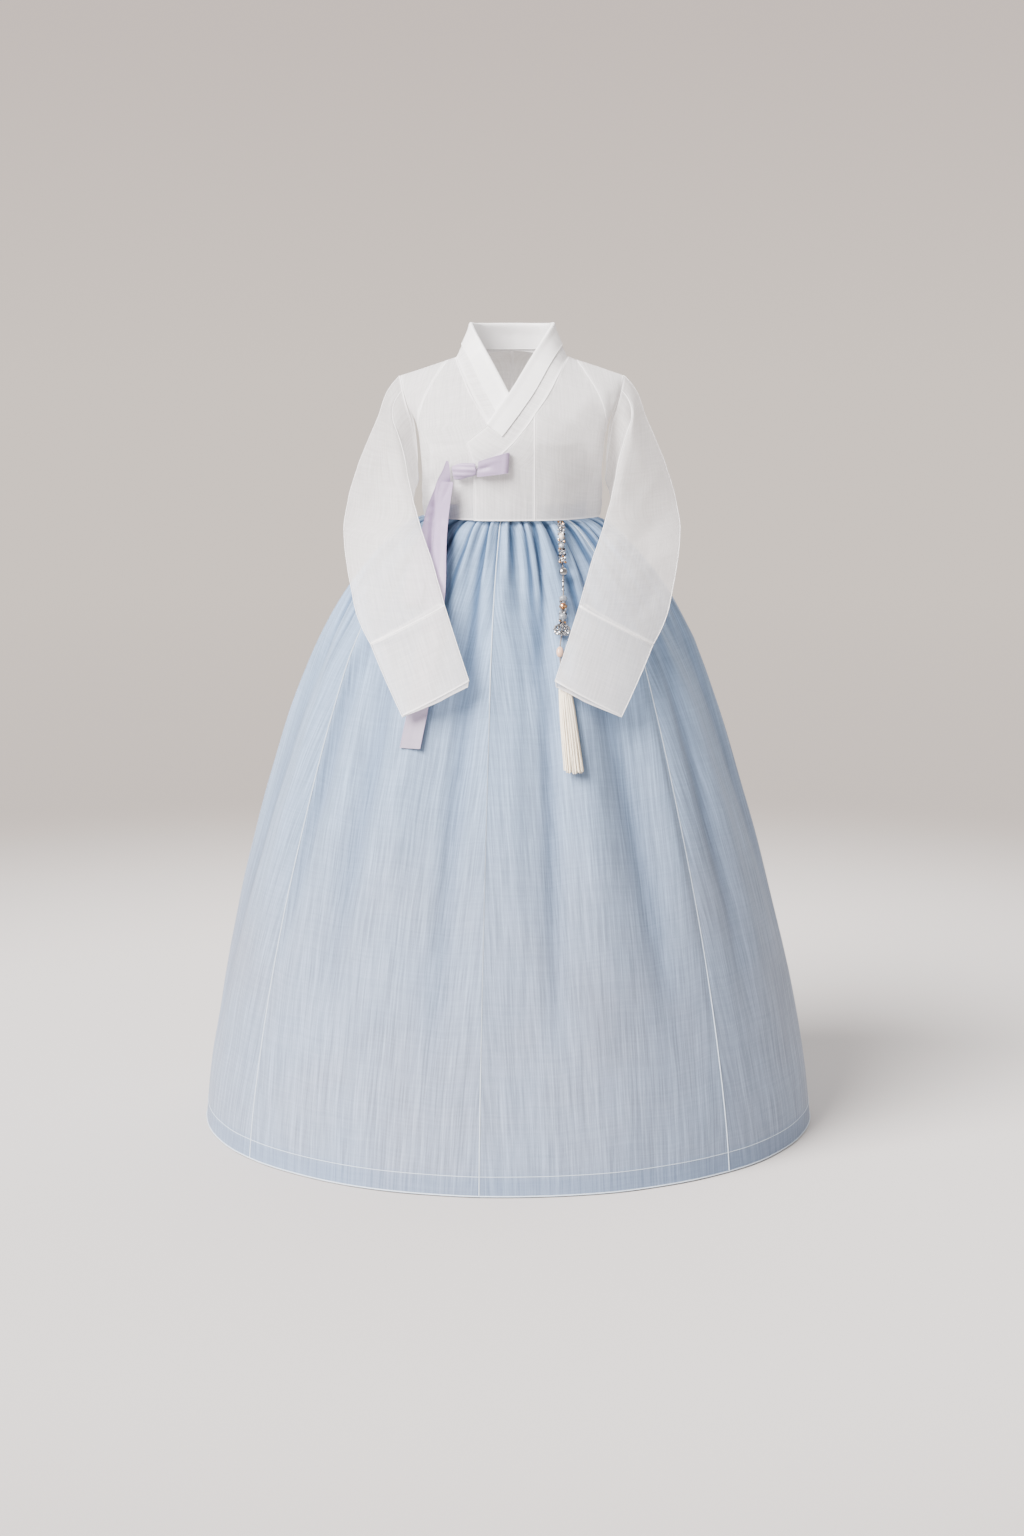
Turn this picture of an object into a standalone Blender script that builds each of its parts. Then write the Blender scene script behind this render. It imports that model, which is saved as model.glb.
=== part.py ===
"""A woman's hanbok, hollow as it is worn.

A short sheer jacket with its crossed collar, a full-length skirt of seven pleated panels on a
chest band, the jacket's tied ribbons, and a string of beads with a tassel at the waist.

Metres, +Z up.  -Y is the front and +X is the wearer's left.  The origin is on the shoulder
line in the middle plane, where the wearer's shoulders hold the jacket.
"""
from math import cos, pi, radians, sin

import bmesh
import bpy
import numpy as np

# ---------------------------------------------------------------- driving sizes
SEAM_GAP = 0.0003            # between two pieces that a seam joins
JACKET_CLOTH = 0.0012        # wall of the jacket, its collar and sleeves
SKIRT_CLOTH = 0.0014
HEM_CLOTH = 0.0024           # the skirt's hem is folded twice
TRIM_CLOTH = 0.0009          # white strip over the collar
RIBBON_CLOTH = 0.0010
BAND_CLOTH = 0.0020

JACKET_HEM = -0.250          # height of the jacket's hem below the shoulder line
NECK_RISE = 0.019            # the body surface at the middle of the neck, above the shoulder line
SHOULDER_SLOPE = 0.0614      # fall of the shoulder, for one unit of shoulder_fall()
BODY_HEIGHT = NECK_RISE - JACKET_HEM
SHOULDER_WIDTH = 0.178       # half width of the body at the shoulder's end
BODY_ROUNDNESS = 2.4         # exponent of the body's cross-section: 2 would be an ellipse
OVERLAP_LIFT = 0.0050        # how far the upper front stands off the lower front
OVERLAP_FADE = (0.030, 0.120)   # from this x to that, the lift of the upper front dies out

RIBBON_WIDTH = 0.031
SLEEVE_CLEARANCE = 0.018     # between a sleeve's back layer and the skirt

SKIRT_X = -0.006             # the skirt's axis is a little to the wearer's right
PANELS = 7
PLEATS_PER_PANEL = 5
PLEATS = PANELS * PLEATS_PER_PANEL
FIRST_SEAM = radians(-5.0)   # angle of the front seam from the middle front
PLEAT_COLUMNS = (0.0, 0.24, 0.5, 0.76)   # places in one pleat: its valley, shoulder, ridge, shoulder


class Table:
    """A short table with named columns, read along smooth curves through its rows."""

    def __init__(self, columns, *rows):
        names = columns.split()
        self.columns = dict(zip(names, np.array(rows, dtype=float).T))
        self.keys = self.columns[names[0]]

    def at(self, column, place):
        """The column's value at a place, by a monotone cubic curve."""
        keys, values = self.keys, self.columns[column]
        place = np.clip(place, keys[0], keys[-1])
        step = np.diff(keys)
        slope = np.diff(values) / step
        tangent = np.empty(len(keys))
        tangent[0], tangent[-1] = slope[0], slope[-1]
        before, after = slope[:-1], slope[1:]
        weight_a = 2 * step[1:] + step[:-1]
        weight_b = step[1:] + 2 * step[:-1]
        same_way = before * after > 0
        safe_before = np.where(same_way, before, 1.0)
        safe_after = np.where(same_way, after, 1.0)
        mean = (weight_a + weight_b) / (weight_a / safe_before + weight_b / safe_after)
        tangent[1:-1] = np.where(same_way, mean, 0.0)
        row = np.clip(np.searchsorted(keys, place, side="right") - 1, 0, len(keys) - 2)
        t = (place - keys[row]) / step[row]
        return (values[row] * (1 + 2 * t) * (1 - t) ** 2 + values[row + 1] * t * t * (3 - 2 * t)
                + step[row] * t * (1 - t) * (tangent[row] * (1 - t) - tangent[row + 1] * t))


# Edges of the jacket's body by level: 0 is the hem and 1 the shoulder line.  The y of the front
# and back panels' side edges part at the armpit, where the armhole begins.
ARMPIT_LEVEL = 0.213
BODY_SIDE = Table(
    "level width front back",
    (0.000, 0.1410, 0.000, 0.000),
    (0.213, 0.1475, 0.000, 0.000),
    (0.340, 0.1480, -0.030, 0.034),
    (0.520, 0.1510, -0.046, 0.052),
    (0.656, 0.1560, -0.047, 0.056),
    (0.778, 0.1650, -0.038, 0.050),
    (0.900, 0.1725, -0.018, 0.034),
    (1.000, SHOULDER_WIDTH, 0.012, 0.012))

# Middle of the front and of the back, by level
BODY_MIDDLE = Table(
    "level front back",
    (0.00, -0.118, 0.105),
    (0.22, -0.124, 0.112),
    (0.41, -0.127, 0.116),
    (0.56, -0.119, 0.116),
    (0.72, -0.094, 0.111),
    (0.82, -0.070, 0.103),
    (0.93, -0.033, 0.086),
    (0.965, -0.015, 0.070),
    (1.00, 0.012, 0.012))

# Seams of the front, x by height z
COLLAR_SEAM_LEFT = Table(
    "z x",
    (-0.172, -0.0580), (-0.155, -0.0275), (-0.1325, -0.0005), (-0.111, 0.0180), (-0.0846, 0.0380),
    (-0.0544, 0.0590), (-0.031, 0.0714), (-0.0062, 0.0846), (0.000, 0.0885))
COLLAR_SEAM_RIGHT = Table(
    "z x",
    (-0.134, -0.0190), (-0.0984, -0.0384), (-0.081, -0.0490), (-0.0516, -0.0657),
    (-0.029, -0.0759), (-0.0062, -0.0862), (0.000, -0.0885))
YOKE_SEAM = Table(
    "z x",
    (-0.1200, 0.1526), (-0.108, 0.1518), (-0.098, 0.1500), (-0.083, 0.1465), (-0.066, 0.1405),
    (-0.043, 0.1290), (-0.020, 0.1140), (-0.004, 0.1030))
OVERLAP_SEAM_X = 0.035       # between the left front and its overlap panel
FRONT_EDGE_X = -0.058        # free edge of the overlap panel
HIDDEN_EDGE_X = 0.022        # edge of the lower front, under the overlap
YOKE_FOOT = -0.1185          # height where the yoke's seam runs into the armhole
OVERLAP_TIP = -0.0885        # height where the collar's seam cuts the overlap's seam
COLLAR_GAP = 0.0006          # between the collar's curved seam and the body, measured along x
NECK_COLUMNS = (0.0, 0.021, 0.041, 0.059, 0.075, 0.0885)   # x of the points along the back neckline

# Back neckline: level of the body surface by distance from the middle
BACK_NECK = Table(
    "x level",
    (0.0000, 0.965), (0.0300, 0.968), (0.0620, 0.978), (0.0800, 0.990), (0.0885, 1.000))

# Collar stations from the hidden lower end, round the back of the neck, to the upper end.
# The seam lies on the body, at seam_x and seam_z in front or at seam_x on the back neckline
# (back = 1).  The top edge stands free where top_y is given (free = 1) and lies on the chest
# elsewhere.  lift is the share of OVERLAP_LIFT, at the top edge where it is over 1, and inside is how
# far the white strip turns in.
COLLAR = Table(
    "station back seam_x seam_z free top_x top_y top_z lift inside",
    (0.0, 0, -0.0225, -0.128, 0, 0.0210, 0.000, -0.1030, 0, 0.003),
    (1.0, 0, -0.0490, -0.081, 0, -0.0050, -0.088, -0.0569, 0, 0.003),
    (1.5, 0, -0.0630, -0.056, 1, -0.0200, -0.066, -0.0290, 0, 0.006),
    (2.0, 0, -0.0759, -0.029, 1, -0.0350, -0.040, -0.0020, 0, 0.015),
    (2.5, 0, -0.0840, -0.011, 1, -0.0520, -0.016, 0.0280, 0, 0.025),
    (3.0, 0, -0.0885, 0.000, 1, -0.0645, 0.006, 0.0508, 0, 0.034),
    (3.5, 1, -0.0800, 0.000, 1, -0.0610, 0.034, 0.0520, 0, 0.038),
    (4.0, 1, -0.0550, 0.000, 1, -0.0420, 0.053, 0.0520, 0, 0.040),
    (5.0, 1, 0.0000, 0.000, 1, 0.0000, 0.061, 0.0522, 0, 0.040),
    (6.0, 1, 0.0550, 0.000, 1, 0.0420, 0.053, 0.0520, 0, 0.040),
    (6.5, 1, 0.0800, 0.000, 1, 0.0610, 0.034, 0.0520, 0, 0.038),
    (7.0, 0, 0.0885, 0.000, 1, 0.0645, 0.006, 0.0508, 0, 0.034),
    (7.5, 0, 0.0815, -0.012, 1, 0.0475, -0.018, 0.0250, 0.2, 0.025),
    (8.0, 0, 0.0714, -0.031, 1, 0.0290, -0.042, -0.0036, 0.6, 0.015),
    (8.5, 0, 0.0560, -0.059, 1, 0.0120, -0.073, -0.0310, 1.2, 0.004),
    (8.75, 0, 0.0473, -0.0722, 0.3, 0.0036, -0.084, -0.0443, 1.45, 0.003),
    (9.0, 0, 0.0380, -0.0846, 0, -0.0050, -0.095, -0.0569, 1.5, 0.003),
    (9.5, 0, 0.0180, -0.111, 0, -0.0230, 0.000, -0.0804, 1.35, 0.003),
    (10.0, 0, -0.0005, -0.1325, 0, -0.0380, 0.000, -0.1020, 1.1, 0.003),
    (10.5, 0, -0.0275, -0.155, 0, -0.0550, 0.000, -0.1160, 1, 0.003),
    (11.0, 0, -0.0580, -0.172, 0, -0.0713, 0.000, -0.1290, 1, 0.003))
COLLAR_COLUMNS = 6           # points across the band
TRIM_GAP = 0.0006            # between the band and the white strip folded over it
TRIM_START, TRIM_END = 0.5, 10.0   # stations where the white strip is cut off

# Left sleeve, a row for each ring below the armhole.  outer is the fold down the outside of the
# arm, crease the free fold towards the middle, under the fold below the arm.  front, recess and
# back are how far the cloth swells between them, forwards for front and recess.
SLEEVE = Table(
    "ring outer_x outer_y outer_z crease_x crease_y crease_z under_x under_y under_z"
    " front recess back",
    (1, 0.1990, 0.010, -0.0540, 0.1890, -0.034, -0.0800, 0.1502, 0.004, -0.2060, 0.010, 0.034, 0.052),
    (2, 0.2140, 0.004, -0.0920, 0.1810, -0.063, -0.1240, 0.1528, 0.006, -0.2090, 0.016, 0.016, 0.051),
    (3, 0.2280, -0.002, -0.1250, 0.1710, -0.080, -0.1580, 0.1545, 0.008, -0.2130, 0.020, 0.002, 0.049),
    (4, 0.2455, -0.010, -0.1720, 0.1620, -0.094, -0.1890, 0.1560, 0.006, -0.2190, 0.022, -0.006, 0.046),
    (5, 0.2570, -0.018, -0.2070, 0.1555, -0.104, -0.2150, 0.1575, 0.000, -0.2320, 0.022, -0.006, 0.042),
    (6, 0.2655, -0.040, -0.2500, 0.1460, -0.120, -0.2500, 0.1570, -0.030, -0.2540, 0.020, -0.004, 0.036),
    (7, 0.2655, -0.064, -0.2820, 0.1360, -0.136, -0.2800, 0.1500, -0.074, -0.2810, 0.018, -0.002, 0.026),
    (8, 0.2610, -0.090, -0.3130, 0.1250, -0.158, -0.3080, 0.1400, -0.112, -0.3080, 0.016, 0.0, 0.014),
    (9, 0.2520, -0.120, -0.3560, 0.1160, -0.182, -0.3360, 0.1290, -0.148, -0.3360, 0.015, 0.0, 0.006),
    (10, 0.2390, -0.156, -0.4010, 0.1085, -0.200, -0.3590, 0.1190, -0.172, -0.3590, 0.014, 0.0, 0.0),
    (11, 0.2185, -0.190, -0.4365, 0.1035, -0.213, -0.3750, 0.1130, -0.188, -0.3750, 0.013, 0.0, 0.0),
    (12, 0.2010, -0.222, -0.4730, 0.0910, -0.236, -0.4110, 0.1000, -0.214, -0.4110, 0.013, 0.0, 0.0),
    (13, 0.1840, -0.249, -0.5060, 0.0780, -0.257, -0.4480, 0.0870, -0.236, -0.4480, 0.012, 0.0, 0.0),
    (14, 0.1675, -0.272, -0.5370, 0.0655, -0.276, -0.4830, 0.0745, -0.256, -0.4830, 0.012, 0.0, 0.0))
CUFF_SEAM_RING = 11          # the cuff starts here
SHARPEST_FOLD = 0.3          # sine of half the sharpest angle that the wall fills
FRONT_STEPS, RECESS_STEPS, BACK_STEPS = 5, 6, 7
ARMHOLE_GAP = 0.0007         # between the sleeve and the curved edge of the armhole, along x
CREASE_LEVEL = 0.90          # level of the armhole edge where the sleeve's crease starts

# Skirt by height: outline of the ridges, depth of the gathered pleats and of the broad folds
SKIRT = Table(
    "z width front back pleat broad",
    (-1.2320, 0.4990, 0.480, 0.480, 0.0000, 0.0030),
    (-1.2035, 0.4970, 0.475, 0.475, 0.0000, 0.0035),
    (-1.0400, 0.4750, 0.436, 0.436, 0.0000, 0.0070),
    (-0.8600, 0.4380, 0.390, 0.390, 0.0000, 0.0105),
    (-0.6950, 0.3930, 0.338, 0.338, 0.0000, 0.0135),
    (-0.5500, 0.3450, 0.279, 0.279, 0.0006, 0.0155),
    (-0.4400, 0.2990, 0.228, 0.227, 0.0030, 0.0155),
    (-0.3600, 0.2550, 0.190, 0.185, 0.0062, 0.0140),
    (-0.2980, 0.2040, 0.153, 0.146, 0.0094, 0.0118),
    (-0.2525, 0.1440, 0.117, 0.108, 0.0085, 0.0090),
    (-0.2495, 0.1305, 0.107, 0.097, 0.0070, 0.0070),
    (-0.2283, 0.1260, 0.101, 0.091, 0.0050, 0.0050))
HEM_ROW = -1.2035            # top of the folded hem
WAIST = (0.137, 0.112)       # half axes of the gathered waist, along which the pleats are even
BROAD_EVERY = 3              # every third pleat runs on as a broad fold
NARROW_VALLEY, WIDE_VALLEY = 0.20, 1.15   # half width of a valley at the waist and low down, in pleats
VALLEY_OPENS = (-0.27, -0.75)   # between these heights the broad folds' valleys widen

BAND_TOP, BAND_BOTTOM = -0.135, -0.2278
BAND_AXES = (0.1255, 0.100, 0.090)   # half width, front and back of the chest band

# Ribbon tails: height, middle x, width, turn of the ribbon about its length, and height over
# what lies below
LONG_TAIL = Table(
    "z x width turn lift",
    (-0.587, -0.1560, 0.031, 0, 0.0030), (-0.520, -0.1425, 0.031, 0, 0.0030),
    (-0.460, -0.1340, 0.031, 2, 0.0030), (-0.400, -0.1240, 0.031, 6, 0.0034),
    (-0.345, -0.1175, 0.031, 16, 0.0045), (-0.300, -0.1160, 0.031, 28, 0.0056),
    (-0.262, -0.1135, 0.031, 36, 0.0060), (-0.235, -0.1100, 0.030, 38, 0.0055),
    (-0.210, -0.1055, 0.027, 36, 0.0045), (-0.1905, -0.1010, 0.022, 32, 0.0050))
SHORT_TAIL = Table(
    "z x width turn lift",
    (-0.375, -0.1565, 0.031, -8, 0.0010), (-0.340, -0.1490, 0.031, -8, 0.0010),
    (-0.305, -0.1400, 0.031, -6, 0.0010), (-0.280, -0.1310, 0.031, -4, 0.0012),
    (-0.262, -0.1250, 0.031, 0, 0.0014), (-0.240, -0.1195, 0.031, 4, 0.0014),
    (-0.2045, -0.1095, 0.026, 8, 0.0014), (-0.190, -0.1070, 0.020, 8, 0.0016),
    (-0.175, -0.1030, 0.012, 8, 0.0020), (-0.158, -0.1010, 0.003, 8, 0.0030))

TAIL_FOLLOWS = (-0.275, -0.255)   # below the first height a tail follows the skirt right across

# Beads on the cord: height, greatest diameter and length
BEADS = (
    (-0.2635, 0.0095, 0.0095),
    (-0.2745, 0.0085, 0.0120),
    (-0.2885, 0.0100, 0.0110),
    (-0.3085, 0.0085, 0.0090),
    (-0.3265, 0.0140, 0.0140),
    (-0.3460, 0.0056, 0.0200),
    (-0.3660, 0.0130, 0.0100),
    (-0.3775, 0.0130, 0.0105),
    (-0.3925, 0.0130, 0.0120),
    (-0.4440, 0.0112, 0.0170),
    (-0.4790, 0.0085, 0.0085))
CORD_RADIUS = 0.0012
CORD_POINTS = 46
BEAD_HOLE = 0.0019
CORD_PATH = Table(
    "z x y",
    (-0.4900, 0.0770, -0.2517), (-0.4650, 0.0745, -0.2403), (-0.4440, 0.0735, -0.2305),
    (-0.4137, 0.0765, -0.2156), (-0.3925, 0.0782, -0.2047), (-0.3660, 0.0790, -0.1913),
    (-0.3265, 0.0790, -0.1683), (-0.3000, 0.0780, -0.1504), (-0.2885, 0.0775, -0.1421),
    (-0.2745, 0.0770, -0.1325), (-0.2635, 0.0766, -0.1213), (-0.2524, 0.0761, -0.1068))
ORNAMENT_Z = -0.4137


# ---------------------------------------------------------------- scene and materials
def clear_scene():
    for thing in list(bpy.data.objects):
        bpy.data.objects.remove(thing, do_unlink=True)


def material(name, colour, roughness, metallic=0.0):
    made = bpy.data.materials.new(name)
    made.use_nodes = True
    shader = made.node_tree.nodes["Principled BSDF"]
    shader.inputs["Base Color"].default_value = (*colour, 1.0)
    shader.inputs["Roughness"].default_value = roughness
    shader.inputs["Metallic"].default_value = metallic
    return made


def add_object(name, points, faces, finish, smooth=True):
    """One closed body as an object, its faces turned outwards."""
    mesh = bpy.data.meshes.new(name)
    mesh.from_pydata([tuple(point) for point in points], [], faces)
    work = bmesh.new()
    work.from_mesh(mesh)
    bmesh.ops.recalc_face_normals(work, faces=work.faces)
    work.to_mesh(mesh)
    work.free()
    if smooth:
        mesh.shade_smooth()
        mesh.set_sharp_from_angle(angle=radians(50))
    mesh.materials.append(finish)
    thing = bpy.data.objects.new(name, mesh)
    bpy.context.scene.collection.objects.link(thing)
    return thing


# ---------------------------------------------------------------- walls from grids of points
def unit(vectors):
    return vectors / np.linalg.norm(vectors, axis=-1, keepdims=True)


def grid_normals(grid):
    """Normals of an open grid of points."""
    return unit(np.cross(np.gradient(grid, axis=1), np.gradient(grid, axis=0)))


def tube_normals(grid):
    """Normals of a tube of rings that halve the angle between the cloth on either side.  They are
    longer at a sharp fold, so that the cloth keeps its thickness there."""
    along = unit(np.gradient(grid, axis=0))

    def square(step):
        return unit(step - (step * along).sum(axis=-1, keepdims=True) * along)

    ahead = square(np.roll(grid, -1, axis=1) - grid)
    behind = square(grid - np.roll(grid, 1, axis=1))
    normal = unit(np.cross(ahead + behind, along))
    beside = np.abs((normal * np.cross(ahead, along)).sum(axis=-1, keepdims=True))
    return normal / np.maximum(beside, SHARPEST_FOLD)


def wall(name, outer, inner, finish, around=False):
    """A closed cloth wall between two grids of points with the same rows and columns.  Both faces
    are split along the same diagonals, those that stand out, so that they never cross."""
    rows, columns = outer.shape[:2]
    points = np.concatenate([outer.reshape(-1, 3), inner.reshape(-1, 3)])
    other = rows * columns
    span = columns if around else columns - 1
    faces = []
    for row in range(rows - 1):
        for column in range(span):
            after = (column + 1) % columns
            a, b = row * columns + column, row * columns + after
            c, d = b + columns, a + columns
            twist = points[a] + points[c] - points[b] - points[d]
            if twist @ (points[a] - points[a + other]) < 0:
                a, b, c, d = b, c, d, a
            faces += [(a, b, c), (a, c, d)]
            faces += [(c + other, b + other, a + other), (d + other, c + other, a + other)]
    for row in (0, rows - 1):
        for column in range(span):
            a, b = row * columns + column, row * columns + (column + 1) % columns
            faces.append((a, b, b + other, a + other))
    if not around:
        for column in (0, columns - 1):
            for row in range(rows - 1):
                a, b = row * columns + column, (row + 1) * columns + column
                faces.append((a, b, b + other, a + other))
    return add_object(name, points, faces, finish)


def loft(name, rings, finish, smooth=True):
    """A closed body through rings of points, with a flat cap at each end."""
    rings = np.array(rings)
    count, sides = rings.shape[:2]
    faces = [tuple(range(sides)), tuple(range((count - 1) * sides, count * sides))]
    for row in range(count - 1):
        for side in range(sides):
            a, b = row * sides + side, row * sides + (side + 1) % sides
            faces.append((b, b + sides, a + sides, a))
    return add_object(name, rings.reshape(-1, 3), faces, finish, smooth)


# ---------------------------------------------------------------- body surface of the jacket
def shoulder_fall(across):
    """Rounded distance from the middle: 0 there, 0.31 at the neck point, 0.78 at the armhole."""
    return np.sqrt(across ** 2 + 0.25 ** 2) - 0.25


def body_point(side, angle, level):
    """A point of the body surface.  side is -1 in front and 1 behind, angle runs from -90
    degrees at the right edge to 90 at the left one, level from 0 at the hem to 1."""
    across = np.sin(angle)
    edge_name = "front" if side < 0 else "back"
    edge = BODY_SIDE.at(edge_name, level)
    middle = BODY_MIDDLE.at(edge_name, level)
    fullness = np.sqrt(np.clip(1 - np.abs(across) ** BODY_ROUNDNESS, 0, 1))
    x = BODY_SIDE.at("width", level) * across
    y = edge + (middle - edge) * fullness
    z = JACKET_HEM + level * (BODY_HEIGHT - SHOULDER_SLOPE * shoulder_fall(across))
    return np.stack([x, y, z], axis=-1)


def body_normal(side, angle, level, step=1e-3):
    """Outward normal of the body surface.  Along the side and shoulder seams it stays in the
    seam's own plane, so that the two walls meet there edge to edge."""
    low_angle, high_angle = np.clip(angle - step, -pi / 2, pi / 2), np.clip(angle + step, -pi / 2, pi / 2)
    low_level, high_level = np.clip(level - step, 0, 1), np.clip(level + step, 0, 1)
    across = body_point(side, high_angle, level) - body_point(side, low_angle, level)
    upward = body_point(side, angle, high_level) - body_point(side, angle, low_level)
    normal = unit(np.cross(across, upward)) * -side
    on_seam = (np.abs(angle) > pi / 2 - 1e-6) | (level > 1 - 1e-6)
    normal[..., 1] = np.where(on_seam, 0.0, normal[..., 1])
    return unit(normal)


def body_place(side, x, z):
    """Angle and level of the body surface at a given x and height."""
    level = np.full_like(np.asarray(x, dtype=float), 0.5)
    for _ in range(12):
        across = np.clip(x / BODY_SIDE.at("width", level), -1, 1)
        full = BODY_HEIGHT - SHOULDER_SLOPE * shoulder_fall(across)
        level = np.clip((z - JACKET_HEM) / full, 0, 1)
    return np.arcsin(across), level


def chest_point(x, z, lift=0.0):
    """The point of the front surface at x and z, moved out by lift."""
    angle, level = body_place(-1, x, z)
    return body_point(-1, angle, level) + body_normal(-1, angle, level) * np.asarray(lift)[..., None]


def overlap_lift(x):
    """How far the upper front stands out at x."""
    start, end = OVERLAP_FADE
    t = np.clip((x - start) / (end - start), 0, 1)
    return OVERLAP_LIFT * (1 - t * t * (3 - 2 * t))


def body_panel(name, side, levels, left_edge, right_edge, columns, finish, lift=None):
    """A panel of the jacket's body between two edges, each a function from z to x, or None
    for the side edge.  levels may be one row of levels or a grid with a level for each column."""
    levels = np.asarray(levels, dtype=float)
    angles = []
    for edge, side_angle in ((left_edge, -pi / 2), (right_edge, pi / 2)):
        if edge is None:
            angles.append(np.full(len(levels), side_angle))
            continue
        across = np.zeros(len(levels))
        for _ in range(12):
            full = BODY_HEIGHT - SHOULDER_SLOPE * shoulder_fall(across)
            x = edge(JACKET_HEM + levels * full)
            across = np.clip(x / BODY_SIDE.at("width", levels), -1, 1)
        angles.append(np.arcsin(across))
    share = np.linspace(0, 1, columns + 1)
    angle = angles[0][:, None] * (1 - share) + angles[1][:, None] * share
    level = np.repeat(levels[:, None], columns + 1, axis=1)
    return body_wall(name, side, angle, level, finish, lift)


def body_wall(name, side, angle, level, finish, lift=None):
    """The wall of a jacket panel from its grid of angles and levels."""
    outer = body_point(side, angle, level)
    normal = body_normal(side, angle, level)
    if lift is not None:
        outer = outer + normal * lift(outer[..., 0])[..., None]
    on_seam = (np.abs(angle) > pi / 2 - 1e-6) | (level > 1 - 1e-6)
    outer[..., 1] += np.where(on_seam, side * SEAM_GAP / 2, 0.0)
    return wall(name, outer, outer - normal * JACKET_CLOTH, finish)


def level_at(z, across=0.0):
    """Level of the body surface at height z, at a share of its half width."""
    return (z - JACKET_HEM) / (BODY_HEIGHT - SHOULDER_SLOPE * shoulder_fall(across))


def constant(x):
    return lambda z: np.full_like(z, x)


def from_table(table, shift=0.0, mirror=1):
    return lambda z: mirror * (table.at("x", z) + shift)


# ---------------------------------------------------------------- jacket
def make_backs(finish):
    for name, hand in (("jacket_back_left", 1), ("jacket_back_right", -1)):
        neck_x = np.array(NECK_COLUMNS)
        neck_level = BACK_NECK.at("level", neck_x)
        neck_angle = np.arcsin(neck_x / BODY_SIDE.at("width", neck_level))
        neck_angle[0] = SEAM_GAP / 2 / SHOULDER_WIDTH
        angle_row = np.concatenate([neck_angle, np.linspace(neck_angle[-1], pi / 2, 6)[1:]])
        top = np.concatenate([neck_level, np.ones(5)])
        top[:len(neck_x)] -= COLLAR_GAP / 2 / BODY_HEIGHT
        rows = np.array([0, 0.10, 0.213, 0.33, 0.45, 0.57, 0.69, 0.80, 0.90, 1.0])[:, None]
        level = rows * top[None, :]
        angle = np.repeat(angle_row[None, :], len(rows), axis=0)
        body_wall(name, 1, angle * hand, level, finish)


def make_fronts(finish):
    gap = SEAM_GAP / 2
    foot = level_at(YOKE_FOOT, 1.0)
    tip = level_at(OVERLAP_TIP, 0.2)
    seam_end = level_at(COLLAR_SEAM_RIGHT.keys[0] + 0.0015, 0.12)
    levels = [0, 0.11, ARMPIT_LEVEL, 0.32, 0.405, seam_end, 0.50, 0.56,
              foot, tip, 0.66, 0.71, 0.77, 0.85, 0.93, 1.0]

    # The lower front: up its hidden edge, then along the collar's seam and the yoke's seam
    def lower_edge(z):
        hidden = z < COLLAR_SEAM_RIGHT.keys[0]
        return np.where(hidden, HIDDEN_EDGE_X, COLLAR_SEAM_RIGHT.at("x", z) - COLLAR_GAP)

    def yoke_edge(z):
        return np.where(z < YOKE_FOOT + 0.001, 0.5, YOKE_SEAM.at("x", z) - gap)

    body_panel("jacket_front_right", -1, levels, lambda z: -yoke_edge(z), lower_edge, 7, finish)

    # The upper front: its overlap seam, then the collar's seam
    def upper_edge(z):
        return np.maximum(OVERLAP_SEAM_X + gap, COLLAR_SEAM_LEFT.at("x", z) + COLLAR_GAP)

    body_panel("jacket_front_left", -1, levels, upper_edge, yoke_edge, 6, finish, overlap_lift)

    # The overlap panel, up to the point where the collar's seam cuts it off
    def overlap_left(z):
        collar_end = z < COLLAR_SEAM_LEFT.keys[0]
        x = np.where(collar_end, FRONT_EDGE_X, COLLAR_SEAM_LEFT.at("x", z) + COLLAR_GAP)
        return np.minimum(x, OVERLAP_SEAM_X - 4 * gap)

    end = level_at(COLLAR_SEAM_LEFT.keys[0], 0.35)
    overlap_levels = [0, 0.12, 0.22, end - 0.002, end + 0.002, 0.325, 0.36, 0.43, 0.50, 0.56, tip]
    body_panel("jacket_overlap_left", -1, overlap_levels, overlap_left, constant(OVERLAP_SEAM_X - gap),
               4, finish, overlap_lift)

    # Yokes between the yoke's seam and the armhole
    yoke_levels = levels[levels.index(tip):]
    body_panel("jacket_yoke_left", -1, yoke_levels, from_table(YOKE_SEAM, gap), None, 3, finish,
               overlap_lift)
    body_panel("jacket_yoke_right", -1, yoke_levels, None, from_table(YOKE_SEAM, gap, -1), 3, finish)


# ---------------------------------------------------------------- collar
def collar_section(station, columns):
    """Points across the collar band at a station, from its seam to its top edge."""
    share = np.linspace(0, 1, columns)
    value = {name: float(COLLAR.at(name, station)) for name in COLLAR.columns}
    lift = OVERLAP_LIFT * (min(value["lift"], 1) * (1 - share) + value["lift"] * share)
    behind = 3.0 < station < 7.0
    if behind:
        x = value["seam_x"]
        level = BACK_NECK.at("level", np.array([abs(x)]))
        width = BODY_SIDE.at("width", level)
        seam = body_point(1, np.arcsin(x / width), level)[0]
    else:
        seam = chest_point(np.array([value["seam_x"]]), np.array([value["seam_z"]]), lift[:1])[0]
    top = np.array([value["top_x"], value["top_y"], value["top_z"]])
    if value["free"] < 1:
        chest_top = chest_point(top[:1], top[2:], lift[-1:])[0]
        top[1] = chest_top[1] * (1 - value["free"]) + top[1] * value["free"]
    line = seam + (top - seam) * share[:, None]
    if not behind:
        chest = chest_point(line[:, 0], line[:, 2], lift)
        on_body = line[:, 2] < 0.0
        line[:, 1] = np.where(on_body, np.minimum(line[:, 1], chest[:, 1]), line[:, 1])
    toward_top = unit(top - seam)
    line[0] += toward_top * SEAM_GAP
    return line


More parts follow.
